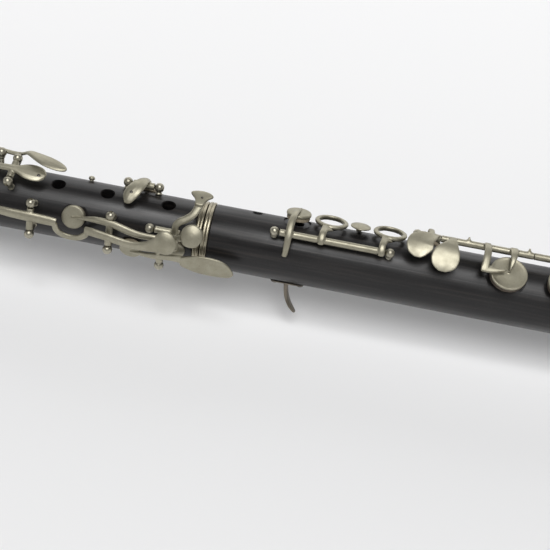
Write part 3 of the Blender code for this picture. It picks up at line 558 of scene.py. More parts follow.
def upper_wood():
    """The upper joint: socket end, baluster, body and middle tenon."""
    baluster = [
        (TOP_X + 4.6, 8.4), (TOP_X + 8, 9.1), (TOP_X + 12, 10.9), (TOP_X + 16, 11.4), (TOP_X + 20, 10.5),
        (TOP_X + 24, 8.9), (TOP_X + 26.4, 8.4),
    ]
    bead = [
        (TOP_X + 26.8, 8.7), (TOP_X + 27.4, 9.2), (TOP_X + 28.4, 9.3), (TOP_X + 29.2, 9.1), (TOP_X + 30, 8.8),
    ]
    outside = [(TOP_X, 7.6), (TOP_X + 2.6, 7.6), (TOP_X + 2.6, 9.2)] + catmull(baluster, 5) + bead + [
        (-85, UPPER_RADIUS), (-2.6, UPPER_RADIUS), (-2.6, 10.9), (0, 10.9), (0, 8.3), (2, 8.3), (2, 7.4),
        (16, 7.4), (16, 8.3), (18, 8.3),
    ]
    inside = [(TOP_X, 3.25), (TOP_X + 18.5, 3.25), (TOP_X + 18.5, 2.3), (18, 4.3)]
    wood = tube(outside, inside)
    cutters = [finger_hole(x, 0, 2.4, UPPER_RADIUS, UPPER_CUT) for x in UPPER_HOLES]
    for x, angle, seat, radius, _, bore in UPPER_PADS.values():
        cutters.append(tone_hole(x, angle, seat, radius + 0.5, bore, UPPER_CUT))
    piece(carved(wood, cutters), "upper_wood", WOOD, "upper_joint", sharp=30)


def lower_wood():
    """The lower joint: socket, body and bell tenon."""
    outside = [
        (0.15, 10.9), (2.8, 10.9), (2.8, LOWER_RADIUS), (180, 12.2), (224, 12.8), (236, 13.6), (240, 13.4),
        (240, 9.8), (242, 9.8), (242, 8.8), (254, 8.8), (254, 9.8), (256, 9.8),
    ]
    inside = [(0.15, 8.5), (18.4, 8.5), (18.4, 4.4), (256, 7.6)]
    wood = tube(outside, inside)
    cutters = [finger_hole(x, LOWER_TURN, 2.7, LOWER_RADIUS, LOWER_CUT) for x in LOWER_HOLES[1:]]
    cutters.append(finger_hole(LOWER_HOLES[0], -31, 1.8, LOWER_RADIUS, LOWER_CUT))
    for name, (x, angle, seat, radius, _, bore) in LOWER_PADS.items():
        floor = RING_FLOOR if name == "ring" else seat
        cutters.append(tone_hole(x, angle, floor, radius + 0.5, bore, LOWER_CUT))
    piece(carved(wood, cutters), "lower_wood", WOOD, "lower_joint", sharp=30)


def bell_wood():
    """The bell: a turned socket shoulder, then one smooth flare."""
    shoulder = [(246.7, 14.9), (252, 14.8), (254.6, 14.3), (257, 13.7), (263, 13.4)]
    flare = [
        (272, 13.5), (286, 14.1), (300, 15.4), (313, 17.3), (324, 19.8), (334, 22.6), (342, 25.3),
        (348, 27.6), (350.7, 28.7),
    ]
    outside = [(240.3, 13.0), (246.7, 13.0)] + catmull(shoulder + flare, 4)
    outside += [(351.8, 28.9), (351.8, 28.0), (355, 28.0)]
    throat = [
        (256.6, 8.0), (274, 9.0), (300, 11.4), (313, 13.4), (324, 15.8), (334, 18.6), (344, 21.8),
        (355, 26.2),
    ]
    inside = [(240.3, 10.1), (256.6, 10.1)] + catmull(throat, 5)
    piece(tube(outside, inside), "bell_wood", WOOD, "bell", sharp=30)


def ridged(name, node, start, end, inner, outer):
    """A turned ferrule of two rounded ridges with a groove between them."""
    width, steps = end - start, 24
    outside = [(start, inner + 0.25)]
    for index in range(steps + 1):
        share = index / steps
        ridge = abs(math.sin(2 * math.pi * share)) ** 0.4
        outside.append((start + width * (0.02 + 0.96 * share), outer - 0.3 * (1 - ridge)))
    outside.append((end, inner + 0.25))
    profile = outside + [(end, inner), (start, inner)]
    band = turned(at(0, 0, 0), ALONG, profile, WOOD_SIDES, ring=True)
    piece(band, name, RING_METAL, node, sharp=50)


def rings_and_corks():
    ridged("upper_ferrule_ring", "upper_ferrule", -2.45, -0.08, 11.05, 12.35)
    ridged("lower_ferrule_ring", "lower_ferrule", 0.22, 2.65, 11.05, 12.45)
    ridged("top_ring_turned", "top_ring", TOP_X, TOP_X + 2.45, 7.75, 9.0)
    ridged("bell_socket_band", "bell_socket_ring", 240.3, 246.55, 13.15, 15.1)
    ridged("bell_rim_band", "bell_rim_ring", 351.95, 355, 28.15, 29.2)
    for name, node, start, end, inner, outer in (
        ("middle_cork", "middle_tenon_cork", 2.15, 15.85, 7.5, 8.35),
        ("bell_cork", "bell_tenon_cork", 242.15, 253.85, 8.9, 9.85),
        ("staple_cork_sleeve", "staple_cork", -242, -217.4, 2.4, 3.1),
    ):
        profile = rounded([(start, inner), (start, outer), (end, outer), (end, inner)], 0.5)
        piece(turned(at(0, 0, 0), ALONG, profile, 64, ring=True), name, CORK, node)


def blade(facing):
    """One blade of the reed: a thin curved shell that widens and flattens to its scraped tip."""
    steps, arc = 40, 20
    start, tip = TOP_X - 17.2, TOP_X - 45.0
    scrape = 0.45
    vertices, faces = [], []
    for step in range(steps + 1):
        share = step / steps
        x = start + (tip - start) * share
        half_width = 2.1 + 1.5 * share**1.6
        rise = 2.1 * (1 - share) ** 1.3 + 0.62 * share
        wall = 0.9 * (1 - share) + 0.28 * share
        if share > scrape:
            wall *= 1 - 0.35 * min((share - scrape) / 0.1, 1)
        for height in (0, -wall):
            for corner in range(arc + 1):
                turn = math.pi * corner / arc
                y = half_width * math.cos(turn)
                if height and corner in (0, arc):
                    y *= 0.85
                z = 0.12 + max(rise + height, 0.0) * math.sin(turn)
                vertices.append(at(x, 0, 0) + Vector((0, y, facing * z)))
    row = 2 * (arc + 1)
    loop = list(range(arc + 1)) + [arc + 1 + corner for corner in reversed(range(arc + 1))]
    for step in range(steps):
        low, high = step * row, (step + 1) * row
        for index in range(row):
            a, b = loop[index], loop[(index + 1) % row]
            faces.append([low + a, low + b, high + b, high + a])
    for corner in range(arc):
        quad = [corner, corner + 1, arc + 2 + corner, arc + 1 + corner]
        faces.append(quad)
        faces.append([steps * row + index for index in reversed(quad)])
    return solid(vertices, faces)


def reed():
    profile = [(TOP_X - 16.8, 1.3), (TOP_X - 16.8, 2.05), (TOP_X + 17.8, 2.3), (TOP_X + 17.8, 1.9)]
    staple = turned(at(0, 0, 0), ALONG, profile, 48, ring=True)
    piece(staple, "staple_tube", BRASS, "staple")
    start, length, turns = TOP_X - 22, 14.7, 48
    profile = [(start, 2.5)]
    for index in range(turns * 4 + 1):
        share = index / (turns * 4)
        ridge = abs(math.sin(math.pi * turns * share))
        profile.append((start + length * share, 3.08 + 0.16 * ridge))
    profile.append((TOP_X - 7.3, 2.5))
    binding = turned(at(0, 0, 0), ALONG, profile, 40, ring=True)
    piece(binding, "reed_binding", THREAD, "reed_thread")
    piece(blade(1), "reed_cane_upper", CANE, "reed_blade_upper")
    piece(blade(-1), "reed_cane_lower", CANE, "reed_blade_lower")


# Keywork ----------------------------------------------------------------------------------------


def cup(name, height=1.5):
    """A key cup: straight skirt, softly rounded shoulder and a nearly flat top."""
    x, angle, seat, radius, thick, _ = PADS[name]
    base = seat + PAD_GAP + thick + CUP_GAP
    profile = [(0, 0), (0, radius - 0.15), (0.15, radius), (height * 0.5, radius)]
    for step in range(7):
        turn = math.radians(15 * step)
        profile.append((height * (0.5 + 0.36 * math.sin(turn)), radius - 0.75 * (1 - math.cos(turn))))
    profile += [(height * 0.93, radius * 0.55), (height, 0)]
    return turned(at(x, angle, base), outward(angle), profile, 64)


def low_cup(name):
    """The large cups of the foot keys: a thin raised rim round a dished top."""
    x, angle, seat, radius, thick, _ = PADS[name]
    base = seat + PAD_GAP + thick + CUP_GAP
    profile = [(0.75, 0), (0.75, radius - 0.1), (0.85, radius), (1.42, radius), (1.62, radius - 0.16)]
    profile += [(1.64, radius - 0.4), (1.54, radius - 0.75), (1.42, radius - 1.3), (1.36, radius * 0.65)]
    profile += [(1.36, radius * 0.4), (1.42, radius * 0.2), (1.45, 0)]
    return turned(at(x, angle, base), outward(angle), profile, 80)


def pad(x, angle, seat, radius, thick):
    """A skin pad, a little narrower than its cup."""
    radius -= 0.35
    profile = [(0, 0), (0.0, radius - 0.5), (0.1, radius - 0.2), (0.35, radius), (thick, radius), (thick, 0)]
    return turned(at(x, angle, seat + PAD_GAP), outward(angle), profile, 56)


def hinge(start, end):
    """A hinge tube between two points, with its ends eased and a saddle line at each."""
    length = (end - start).length
    profile = [(0, 0.84), (0, 1.25), (0.06, 1.3), (0.75, 1.3), (0.85, 1.22), (0.95, 1.3)]
    profile += [(length - h, r) for h, r in reversed(profile)]
    return turned(start, end - start, profile, 32, ring=True)


def dot(x, angle, radius, size=0.62):
    """The head of a small spring screw let into a touch."""
    profile = [(-0.5, 0), (-0.5, size), (0.1, size), (0.22, size * 0.7), (0.25, 0)]
    return turned(at(x, angle, radius), outward(angle), profile, 20)


def cutting_slot(centre, depth_way, cross, width, reach, depth):
    """A cutter for a screwdriver slot that opens along depth_way."""
    other = depth_way.cross(cross).normalized()
    corners = []
    for u in (-depth, 2.0):
        for v in (-width / 2, width / 2):
            for w in (-reach, reach):
                corners.append(centre + depth_way * u + cross * v + other * w)
    sides = [(0, 1, 3, 2), (4, 6, 7, 5), (0, 4, 5, 1), (2, 3, 7, 6), (0, 2, 6, 4), (1, 5, 7, 3)]
    return solid(corners, sides)


def posts(node, places, ground=UPPER_RADIUS):
    """Two turned posts with ball heads, the rod through them and its slotted screw ends.

    The ground is the radius of the wood that they stand on.
    """
    points = [at(*place) for place in places]
    axis = (points[-1] - points[0]).normalized()
    shapes, cutters = [], []
    for index, ((x, angle, radius), point) in enumerate(zip(places, points)):
        foot = ground + POST_GAP
        rise = radius - foot
        profile = [(0, 0), (0, 1.3), (0.35, 1.3), (0.5, 1.18), (0.8, 1.0), (1.1, 0.92)]
        if rise > 3.6:
            profile += [(rise - 2.3, 0.9), (rise - 1.95, 1.2), (rise - 1.6, 1.25), (rise - 1.35, 1.02)]
        profile += [(rise, 1.0), (rise, 0)]
        shapes.append(turned(at(x, angle, foot), outward(angle), profile, 32))
        ball = []
        for step in range(17):
            turn = math.pi * step / 16
            wide = BALL_RADIUS * math.sin(turn) if 0 < step < 16 else 0
            ball.append((-BALL_RADIUS * math.cos(turn), wide))
        shapes.append(turned(point, outward(angle), ball, 32))
        way = axis * (-1 if index == 0 else 1)
        well = [(1.25, 0), (1.25, 0.8), (1.9, 0.86), (2.6, 0.95), (2.6, 0)]
        cutters.append(turned(point, way, well, 28))
        across = way.cross(outward(angle + 35)).normalized()
        cutters.append(cutting_slot(point + way * 1.25, way, across, 0.26, 0.8, 0.35))
    shapes.append(rod(points[0], points[-1], 0.6, 20))
    obj = fused(shapes, POST_FINE, 1)
    piece(carved(obj, [united(cutters)]), node + "_fine", POST_METAL, node)


def saddle(ends):
    """The hinge tube of a key on the rod between two posts."""
    first, second = at(*ends[0]), at(*ends[1])
    inset = (second - first).normalized() * BALL_REACH
    return hinge(first + inset, second - inset)


def key(node, parts, screw=None):
    """A key's parts soldered into one, with the head of a spring screw where it has one."""
    name = node + "_fine"
    piece(fused(parts), name, KEY_METAL, node)
    if screw:
        piece(dot(*screw), name + "_screw", STEEL, node, slot="steel")


# Outlines of the side touch and of the fan-shaped touch.
EGG = [
    (-4.0, 0.4), (-3.5, 2.4), (-2.0, 3.9), (0.2, 4.3), (2.4, 3.6), (3.8, 1.6), (4.1, -0.6), (3.4, -2.6),
    (1.6, -4.0), (-0.6, -4.2), (-2.6, -3.2), (-3.7, -1.6),
]
FAN = [
    (-1.5, 3.6), (1.3, 3.6), (1.9, 1.8), (2.9, 0.3), (4.1, -0.8), (4.2, -1.7), (2.9, -2.6), (0.7, -3.1),
    (-1.5, -3.0), (-3.5, -2.4), (-4.1, -1.7), (-3.5, -0.7), (-2.4, 0.5), (-1.8, 1.9),
]


def short_side_key():
    lever = strap([
        (-47.8, 55.9, 14.75, 0.3, 0.5), (-45.9, 55.0, 14.85, 0.7, 0.8), (-43, 53.6, 15.3, 1.4, 1.0),
        (-38.5, 51.6, 16.6, 2.3, 1.4), (-34.8, 51.6, 17.2, 2.6, 1.5), (-32, 52.2, 17.4, 2.7, 1.5),
        (-29, 54.4, 17.5, 2.8, 1.4), (-25.3, 57.2, 17.7, 2.8, 1.3), (-21.5, 59, 17.8, 2.6, 1.3),
        (-16.2, 59, 17.85, 2.3, 1.2), (-10, 58.5, 17.7, 2.3, 1.1), (-7.6, 54.5, 18.2, 2.5, 1.1),
        (-6.2, 52.5, 19.1, 2.8, 1.1), (-4.2, 50, 19.9, 4.0, 1.1),
    ], crown=0.2)
    paddle = dish((-2.4, 48.0, 20.0), EGG, 1.0, 1.0)
    ends = [(-32.9, 43.3, AXLE), (-32.9, 88.1, AXLE)]
    key("short_side_key", [lever, paddle, cup("short_side"), saddle(ends)])
    posts("short_side_posts", ends)


def long_side_key():
    lever = strap([
        (-84, 62, 14.5, 0.6, 0.7), (-79, 62, 15.6, 2.4, 1.2), (-72, 62.3, 16.9, 3.3, 1.5),
        (-66, 62.6, 17.3, 3.6, 1.6), (-62, 62.8, 17.4, 3.7, 1.6), (-58, 63.1, 17.35, 3.6, 1.5),
        (-54.6, 63.6, 17.3, 3.4, 1.4), (-52.4, 64.2, 17.2, 3.1, 1.2),
    ], crown=0.25)
    arc = strap([
        (-52.8, 64.6, 17.1, 1.7, 1.1), (-52.8, 70.0, 16.9, 2.3, 1.1), (-51.9, 76.0, 16.7, 2.3, 1.1),
        (-49.9, 80.8, 16.5, 2.3, 1.1), (-47.1, 82.6, 16.4, 2.3, 1.1), (-44.3, 80.8, 16.6, 2.3, 1.1),
        (-42.2, 76.0, 16.9, 2.3, 1.1), (-41.0, 71.0, 17.4, 2.3, 1.1), (-40.6, 66.4, 17.9, 1.6, 1.1),
    ], crown=0.1, power=3.2)
    stem = strap([
        (-41.4, 65.9, 17.9, 3.0, 1.2), (-39.8, 65.5, 18.3, 3.2, 1.3), (-37.5, 65.4, 18.9, 3.2, 1.4),
        (-32.9, 66.3, 19.6, 3.1, 1.3), (-27.8, 68, 20.1, 3.0, 1.3), (-22.8, 68.5, 20.6, 3.0, 1.3),
        (-18, 66.5, 21.2, 3.9, 1.2), (-14.6, 63.2, 21.5, 5.8, 1.1), (-12, 60.5, 21.6, 7.0, 1.0),
    ], crown=0.25)
    paddle = dish((-11.1, 59.0, 21.6), oval(8.2, 8.9, turn=-25), 1.0, 1.05)
    ends = [(-62.4, 46.1, AXLE), (-62.4, 87.2, AXLE)]
    key("long_side_key", [lever, arc, stem, paddle, cup("long_side"), saddle(ends)])
    posts("long_side_posts", ends)


def fan_key():
    arm = strap([
        (-9.0, 52, 15.6, 2.5, 1.2), (-9.1, 44, 16.9, 2.5, 1.3), (-9.0, 39.5, 17.5, 2.6, 1.3),
        (-7.8, 34.8, 18.0, 2.8, 1.3), (-5.6, 30.5, 18.4, 2.9, 1.3), (-3.6, 25, 18.9, 2.9, 1.3),
        (-2.4, 18, 19.55, 3.0, 1.1), (-1.9, 12, 20.1, 3.4, 1.0), (-1.9, 8, 20.35, 3.6, 0.8),
        (-1.9, 5, 20.4, 3.0, 0.6),
    ], crown=0.15)
    fan = dish((-1.9, 5.5, 20.6), FAN, 1.0, 0.25)
    pad_arm = strap([
        (-8.5, 53, 14.5, 2.2, 1.1), (-8.5, 62, 14.35, 2.0, 1.1), (-8.5, 71, 14.35, 1.8, 1.0),
        (-8.5, 78.5, 14.1, 0.8, 0.8),
    ])
    parts = [arm, fan, pad_arm, cup("fan", 1.2), hinge(at(-16.6, 49.5, 15.2), at(-7.3, 49.5, 15.2))]
    key("fan_key", parts, screw=(-1.5, 6.5, 21.35, 0.45))
    posts("fan_posts", [(-18.5, 49.5, 15.2), (-5.4, 49.5, 15.2)])


def spoon_key():
    lever = strap([
        (-25.2, 95.4, 14.5, 0.6, 0.7), (-21.5, 94, 14.9, 1.8, 1.1), (-17, 90.5, 15.7, 2.6, 1.4),
        (-14, 88, 16.0, 2.8, 1.5), (-9.7, 84, 16.6, 2.8, 1.3), (-5, 82, 17.2, 3.6, 1.2),
        (-1, 82, 17.6, 4.6, 1.1),
    ], crown=0.15)
    outline = [
        (-10.5, -1.6), (-7, -3.2), (-2, -4.2), (3, -4.0), (6.6, -2.6), (8.9, 0.2), (9.4, 2.2),
        (7.4, 3.6), (2, 4.2), (-4, 3.9), (-8, 2.9), (-10.5, 1.8),
    ]
    spoon = dish((5.0, 83.5, 17.7), outline, 1.0, 0.45)
    ends = [(-14.0, 70.0, 16.0), (-14.0, 109.0, 16.0)]
    key("spoon_key", [lever, spoon, cup("spoon"), saddle(ends)])
    posts("spoon_posts", ends)


def leaf_key():
    leaf = strap([
        (-29.5, 20, 14.4, 0.6, 0.6), (-29.2, 18, 14.6, 2.6, 0.8), (-28.7, 14.5, 15.15, 4.4, 0.95),
        (-27.9, 7, 16.0, 5.9, 1.05), (-26.7, -2, 16.8, 6.1, 1.15), (-25.6, -12, 17.1, 5.2, 1.2),
        (-25.0, -21, 16.9, 4.0, 1.2), (-24.8, -30, 16.2, 3.0, 1.3), (-24.6, -40, 15.6, 2.4, 1.1),
        (-24.4, -52, 14.9, 1.8, 1.0), (-24.2, -63, 14.5, 0.8, 0.8),
    ], crown=0.35)
    parts = [leaf, cup("leaf"), hinge(at(-29.4, -30, 14.4), at(-21.3, -30, 14.4))]
    key("leaf_key", parts, screw=(-27.8, 6.5, 16.95))
    posts("leaf_posts", [(-31.4, -30, 14.4), (-19.4, -30, 14.4)])


def guide_pin():
    profile = [(0, 0), (0, 0.9), (0.35, 0.75), (0.5, 1.15), (1.2, 1.25), (1.75, 0.75), (1.85, 0)]
    pin = turned(at(-45.5, -35, UPPER_RADIUS + POST_GAP), outward(-35), rounded(profile, 0.4), 28)
    piece(pin, "guide_pin_turned", POST_METAL, "guide_pin")


def upper_touch_key():
    touch = strap([
        (-85, -18, 18.6, 2.8, 1.4), (-82, -24, 18.2, 2.6, 1.3), (-79, -28.2, 17.3, 2.7, 1.3),
        (-75.4, -27.4, 17.1, 2.7, 1.3), (-72.4, -25.8, 17.4, 2.6, 1.3), (-70.1, -21.5, 18.6, 2.7, 1.2),
        (-68, -16.5, 19.9, 3.2, 1.2), (-65.5, -12, 20.2, 4.3, 1.1), (-63, -8, 20.4, 5.2, 1.0),
        (-60, -4, 20.5, 5.7, 1.0), (-56, -0.5, 20.4, 4.8, 0.95), (-53.4, 1.6, 20.25, 3.0, 0.9),
        (-52.3, 2.5, 20.15, 1.0, 0.7),
    ], crown=0.25)
    pad_arm = strap([
        (-86, -17, 18.9, 2.2, 1.2), (-86, -26, 18.7, 2.2, 1.2), (-86, -40, 17.2, 2.0, 1.1),
        (-86, -53.5, 14.5, 1.0, 0.9),
    ])
    parts = [touch, pad_arm, cup("upper_touch"), hinge(at(-95.2, -18, 17.9), at(-80.9, -18, 17.9))]
    key("upper_touch_key", parts)
    posts("upper_touch_posts", [(-97.1, -18, 17.9), (-79, -18, 17.9)])


def lower_touch_key():
    touch = strap([
        (-91.5, 4, 14.4, 0.6, 0.7), (-86, 4, 15.2, 1.8, 1.1), (-79, 5, 16.6, 2.6, 1.4),
        (-75.6, 5.6, 17.0, 2.8, 1.4), (-72.4, 6, 17.2, 3.0, 1.4), (-70, 6.4, 17.3, 4.2, 1.2),
        (-67.4, 6.6, 17.25, 6.6, 1.1), (-64.4, 6.9, 17.1, 7.4, 1.0), (-61.8, 7.3, 16.85, 6.4, 0.9),
        (-60.3, 7.6, 16.65, 3.6, 0.8), (-59.8, 7.7, 16.6, 1.6, 0.6),
    ], crown=0.4)
    ends = [(-72.4, 25.5, 17.4), (-72.4, -13.0, 17.4)]
    key("lower_touch_key", [touch, cup("lower_touch"), saddle(ends)], screw=(-62.2, 10.5, 17.65))
    posts("lower_touch_posts", ends)


def octave_key():
    lever = strap([
        (-143, 180, 13.0, 0.6, 0.7), (-138, 180, 13.6, 1.8, 1.0), (-132, 180, 14.2, 2.4, 1.2),
        (-128, 180, 14.6, 2.6, 1.3), (-122, 180, 15.0, 2.8, 1.2), (-118, 180, 15.2, 3.6, 1.1),
    ], crown=0.1)
    touch = dish((-114.5, 180, 15.3), oval(9.5, 6.4), 1.1, 0.4)
    ends = [(-128, 160, 15.0), (-128, 200, 15.0)]
    key("octave_key", [lever, touch, cup("octave"), saddle(ends)])
    posts("octave_posts", ends, ground=10.7)


def ring_key():
    parts = []
    for x in LOWER_HOLES[1:]:
        profile = [(-0.9, 5.0), (-0.82, 5.5), (-0.5, 6.05), (0.1, 6.35), (0.55, 6.25), (0.85, 5.8)]
        profile += [(0.92, 5.25), (0.8, 4.75), (0.3, 4.6), (-0.5, 4.68)]
        parts.append(turned(at(x, LOWER_TURN, 14.0), outward(LOWER_TURN), profile, 96, ring=True))
        parts.append(strap([
            (x - 2.7, 28, 15.9, 2.2, 1.1), (x - 2.7, 22, 16.8, 2.5, 1.2), (x - 2.6, 14, 17.0, 2.6, 1.2),
            (x - 2.1, 6, 16.3, 2.9, 1.2), (x - 1.5, 1, 15.5, 4.0, 1.1), (x - 1.0, -2.6, 15.0, 4.8, 0.9),
        ], crown=0.1))
    parts.append(strap([
        (31.4, 54, 13.0, 1.9, 1.0), (31.6, 45, 14.3, 2.2, 1.1), (31.7, 33, 16.1, 2.5, 1.2),
        (31.7, 22, 17.1, 2.7, 1.3), (31.8, 10, 17.6, 2.7, 1.2), (32.3, -2, 17.7, 2.4, 1.1),
        (33.0, -13, 17.3, 1.9, 1.0), (33.8, -24, 16.75, 1.2, 0.8), (34.4, -32, 16.6, 0.4, 0.6),
    ], crown=0.15))
    parts.append(cup("ring"))
    parts.append(hinge(at(28.2, 21.3, 15.5), at(67.0, 21.3, 15.5)))
    key("ring_key", parts)
    posts("ring_posts", [(26.3, 21.3, 15.5), (68.9, 21.3, 15.5)], ground=LOWER_RADIUS)


def button_key():
    x = 57.2
    profile = [(0, 0), (0, 1.3), (0.1, 3.3), (0.25, 3.75), (0.5, 3.9), (0.75, 3.7), (1.1, 2.6), (1.45, 1.2)]
    profile.append((1.5, 0))
    button = turned(at(x, LOWER_TURN, 14.1), outward(LOWER_TURN), profile, 56)
    arm = strap([
        (x, -22, 13.75, 1.8, 1.1), (x, -35, 13.7, 2.0, 1.1), (x, -48, 13.6, 2.2, 1.1),
        (x, -60, 13.6, 2.2, 1.1), (x, -72, 13.9, 2.2, 1.1), (x, -83, 15.2, 2.2, 1.2),
        (x, -95, 16.9, 2.4, 1.2), (x, -107, 16.4, 2.2, 1.1), (x, -118, 15.4, 1.8, 1.0),
        (x, -129, 14.8, 0.8, 0.8),
    ])
    parts = [button, arm, cup("button"), hinge(at(x - 5.2, -95, 15.5), at(x + 5.2, -95, 15.5))]
    key("button_key", parts)
    posts("button_posts", [(x - 7.1, -95, 15.5), (x + 7.1, -95, 15.5)], ground=LOWER_RADIUS)


def opened(obj):
    """Swing an open-standing key up about the foot rod to its rest place."""
    pivot = at(0, FOOT_ANGLE, FOOT_RADIUS) * MM
    turn = Matrix.Rotation(math.radians(OPEN_SWING), 4, "X")
    obj.data.transform(Matrix.Translation(pivot) @ turn @ Matrix.Translation(-pivot))
    return obj


def foot_hinge(start, end):
    """A hinge tube on the foot rod."""
    return hinge(at(start, FOOT_ANGLE, FOOT_RADIUS), at(end, FOOT_ANGLE, FOOT_RADIUS))


def spring_hook(x):
    """A small spike on a foot tube that catches its spring."""
    way = outward(-38)
    profile = [(0, 0), (0, 1.1), (0.3, 1.0), (0.7, 0.55), (1.5, 0.3), (1.6, 0)]
    return turned(at(x, FOOT_ANGLE, FOOT_RADIUS) + way * 1.0, way, profile, 20)


def e_flat_key():
    touch = strap([
        (84.9, -17, 18.2, 2.3, 1.2), (84.3, -12.5, 18.7, 3.0, 1.2), (82.9, -8, 19.0, 5.0, 1.2),
        (80.8, -3, 19.1, 8.2, 1.1), (79.4, 3, 19.0, 10.0, 1.05), (78.8, 9, 18.7, 9.9, 1.0),
        (78.6, 14.5, 18.4, 8.4, 1.0), (78.6, 19, 18.1, 5.9, 0.9), (78.6, 22.3, 17.9, 2.3, 0.7),
    ], crown=-0.3, spans=6, sections=20)
    far_arm = strap([
        (83.2, -17, 17.9, 2.2, 1.2), (83.2, -28, 17.9, 2.2, 1.2), (83.2, -42, 17.2, 2.0, 1.1),
        (83.2, -63.5, 14.7, 1.0, 0.9),
    ])
    key("e_flat_key", [touch, far_arm, cup("e_flat"), foot_hinge(79.8, 86.55)])


def low_c_keys():
    """The lever with its touch and L-shaped arm, and the cup that it presses."""
    touch = strap([
        (90.9, -17, 18.2, 2.3, 1.2), (90.8, -9, 18.9, 3.1, 1.2), (90.2, -0.5, 19.1, 5.4, 1.2),
        (89.4, 8, 18.9, 8.9, 1.1), (88.7, 16, 18.5, 10.3, 1.0), (88.4, 23.5, 18.1, 9.8, 1.0),
        (88.2, 29.5, 17.8, 7.3, 0.9), (88.1, 33.6, 17.6, 2.7, 0.7),
    ], crown=-0.3, spans=6, sections=20)
    upright = strap([
        (103.75, -17, 18.2, 2.7, 1.2), (103.8, -8, 18.8, 2.7, 1.2), (103.6, 4, 18.6, 2.7, 1.2),
        (103.3, 14, 18.1, 2.7, 1.2), (103.1, 21.5, 17.7, 2.7, 1.2),
    ], crown=0.15, power=5)
    reach = strap([
        (101.8, 19.6, 17.75, 2.8, 1.2), (104.2, 20.0, 17.65, 2.8, 1.2), (107, 19.6, 17.55, 2.1, 1.2),
        (109.8, 18.3, 17.5, 1.1, 1.0), (111.0, 17.5, 17.5, 0.4, 0.7),
    ], crown=0.15, power=5)
    key("low_c_lever", [touch, upright, reach, spring_hook(96.8), foot_hinge(86.7, 105.2)])

    arm = strap([
        (113.6, -17, 18.2, 3.0, 1.2), (113.5, -6, 18.1, 2.7, 1.2), (113.1, 4, 17.1, 1.9, 1.2),
        (112.6, 12, 15.9, 1.0, 1.0), (112.3, 17.4, 14.75, 0.3, 0.7),
    ], crown=0.1, power=5)
    obj = opened(fused([arm, low_cup("low_c"), spring_hook(119.3), foot_hinge(105.35, 121.1)]))
    piece(obj, "low_c_key_fine", KEY_METAL, "low_c_key")


def low_b_key():
    arm = strap([
        (133.6, -17, 18.2, 3.2, 1.2), (133.6, -6, 18.1, 3.0, 1.2), (133.6, 4, 17.1, 2.4, 1.2),
        (133.6, 12, 15.9, 1.4, 1.0), (133.6, 17.4, 14.9, 0.4, 0.7),
    ], crown=0.2, power=4)
    touch = strap([
        (146, -17, 18.2, 2.4, 1.2), (146, -10, 18.6, 2.6, 1.2), (146, -3, 18.7, 3.6, 1.1),
        (146, 4, 18.4, 6.0, 1.0), (146, 12, 18.0, 8.0, 1.0), (146, 19, 17.6, 8.2, 1.0),
        (146, 25, 17.2, 6.0, 0.9), (146, 28, 17.0, 1.6, 0.7),
    ], crown=-0.4, spans=6, sections=20)
    obj = opened(fused([arm, low_cup("low_b"), touch, foot_hinge(121.25, 148.2)]))
    piece(obj, "low_b_key_fine", KEY_METAL, "low_b_key")
    ends = [(77.9, FOOT_ANGLE, FOOT_RADIUS), (150.1, FOOT_ANGLE, FOOT_RADIUS)]
    posts("foot_posts", ends, ground=12.17)


def pads():
    for name, (x, angle, seat, radius, thick, _) in PADS.items():
        wide = name in WIDE_PADS
        obj = pad(x, angle, seat, radius, thick + WIDE_PAD_EXTRA if wide else thick)
        if wide:
            opened(obj)
        # The wide pads under the open foot cups take the skin with painted shade.
        piece(obj, name + "_pad_fine", SKIN_PAINTED_SHADE if wide else SKIN, name + "_pad")


def thumb_rest():
    facing, x = LOWER_TURN + 180, THUMB_X
    widths = (8.0, 11.6, 13.0, 13.2, 13.0, 11.6, 8.0)
    plate = [(x, facing + 7.8 * (step - 3), 12.55, width, 0.6) for step, width in enumerate(widths)]
    base = strap(plate, spans=3, power=5)
    hook = strap([
        (x - 0.3, facing, 12.65, 5.8, 1.8), (x, facing, 15.5, 5.6, 1.6), (x + 0.8, facing, 18.6, 5.4, 1.5),
        (x + 2.3, facing, 21.6, 4.8, 1.3), (x + 4.2, facing, 23.9, 3.2, 1.0),
        (x + 5.0, facing, 24.6, 1.4, 0.7),
    ], side=around(facing), power=4)
    # The rest's dark metal is painted shade.
    piece(fused([base, hook]), "thumb_rest_fine", REST_METAL_PAINTED_SHADE, "thumb_rest")
    for name, place in (("front", x - 4.8), ("back", x + 4.8)):
        profile = [(0, 0), (0, 1.5), (0.25, 1.5), (0.5, 1.3), (0.75, 0.8), (0.88, 0)]
        head = turned(at(place, facing, 13.05), outward(facing), profile, 32)
        groove = cutting_slot(at(place, facing, 13.7), outward(facing), around(facing), 0.4, 2.0, 0.35)
        piece(carved(head, [groove]), "rest_screw_" + name, STEEL, "thumb_rest_screw_" + name)


# Stage ------------------------------------------------------------------------------------------


def lamp(name, kind, way, energy):
    """A white light that shines from a place onto the middle of the object."""
    data = bpy.data.lights.new(name, kind)
    data.energy = energy
    obj = bpy.data.objects.new(name, data)
    bpy.context.scene.collection.objects.link(obj)
    obj.location = Vector(way)
    obj.rotation_mode = "QUATERNION"
    obj.rotation_quaternion = (-Vector(way)).to_track_quat("-Z", "Y")
    return data


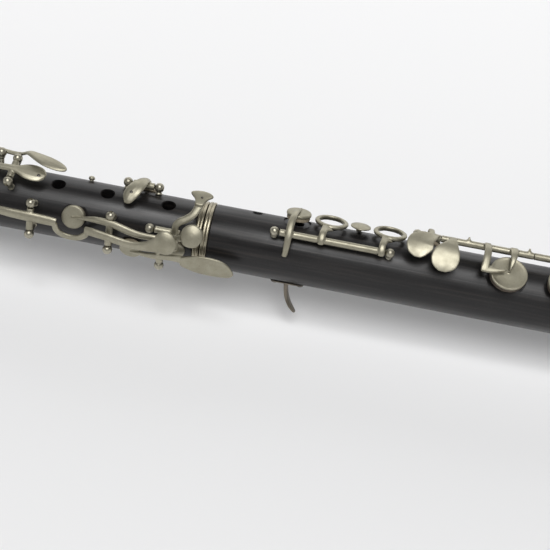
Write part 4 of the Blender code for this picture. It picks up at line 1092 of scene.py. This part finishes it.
def stage():
    """A pale floor under a soft sky, two soft suns and a panel behind."""
    half, floor_z = FLOOR_HALF, cad_bounds[0].z - FLOOR_GAP
    corners = [(-half, -half, floor_z), (half, -half, floor_z), (half, half, floor_z), (-half, half, floor_z)]
    mesh = bpy.data.meshes.new("floor")
    mesh.from_pydata(corners, [], [(0, 1, 2, 3)])
    floor = bpy.data.objects.new("floor", mesh)
    bpy.context.scene.collection.objects.link(floor)
    made, _, shader = nodes_of("pale_cloth")
    shader.inputs["Base Color"].default_value = (0.88, 0.88, 0.885, 1)
    shader.inputs["Roughness"].default_value = 0.95
    shader.inputs["Specular IOR Level"].default_value = 0.05
    mesh.materials.append(made)

    world = bpy.data.worlds.new("studio")
    world.use_nodes = True
    tree = world.node_tree
    place = tree.nodes.new("ShaderNodeTexCoord")
    split = tree.nodes.new("ShaderNodeSeparateXYZ")
    tree.links.new(place.outputs["Generated"], split.inputs["Vector"])
    sky = ramp(tree, split.outputs["Z"], [(0.0, LEVEL_LIGHT), (0.22, HORIZON_LIGHT), (0.5, ZENITH_LIGHT)])
    tree.links.new(sky, tree.nodes["Background"].inputs["Color"])
    bpy.context.scene.world = world

    lamp("window_above", "SUN", (0.05, -0.3, 1.0), SUN_LIGHT).angle = math.radians(SUN_SPREAD)
    lamp("ceiling_spot", "SUN", (0.0, -0.08, 1.0), SPOT_LIGHT).angle = math.radians(SPOT_SPREAD)
    panel = lamp("panel_behind", "AREA", (-0.1, 1.05, 0.6), PANEL_LIGHT)
    panel.shape = "RECTANGLE"
    panel.size, panel.size_y = 1.8, 0.8
    bpy.context.scene.view_settings.view_transform = "Standard"


def camera():
    """The camera, looking down along the keywork at a slant, with a slight roll."""
    data = bpy.data.cameras.new("camera")
    data.sensor_width = SENSOR_WIDTH
    data.lens = LENS
    obj = bpy.data.objects.new("camera", data)
    bpy.context.scene.collection.objects.link(obj)
    right = Vector((0.98135898, 0.16182695, 0.10366573))
    up = Vector((-0.18983234, 0.73211751, 0.65419235))
    back = Vector((0.02997046, -0.66167665, 0.74919009))
    place = Vector((40.42439 + JOINT_X, -257.578827, 276.219474)) * MM
    turn = Matrix((right, up, back)).transposed().to_4x4()
    obj.matrix_world = Matrix.Translation(place) @ turn
    data.clip_start, data.clip_end = 0.01, 50
    bpy.context.scene.camera = obj


camera()
stage()
upper_wood()
lower_wood()
bell_wood()
rings_and_corks()
reed()
short_side_key()
long_side_key()
fan_key()
spoon_key()
leaf_key()
guide_pin()
upper_touch_key()
lower_touch_key()
octave_key()
ring_key()
button_key()
e_flat_key()
low_c_keys()
low_b_key()
pads()
thumb_rest()

bpy.context.view_layer.update()
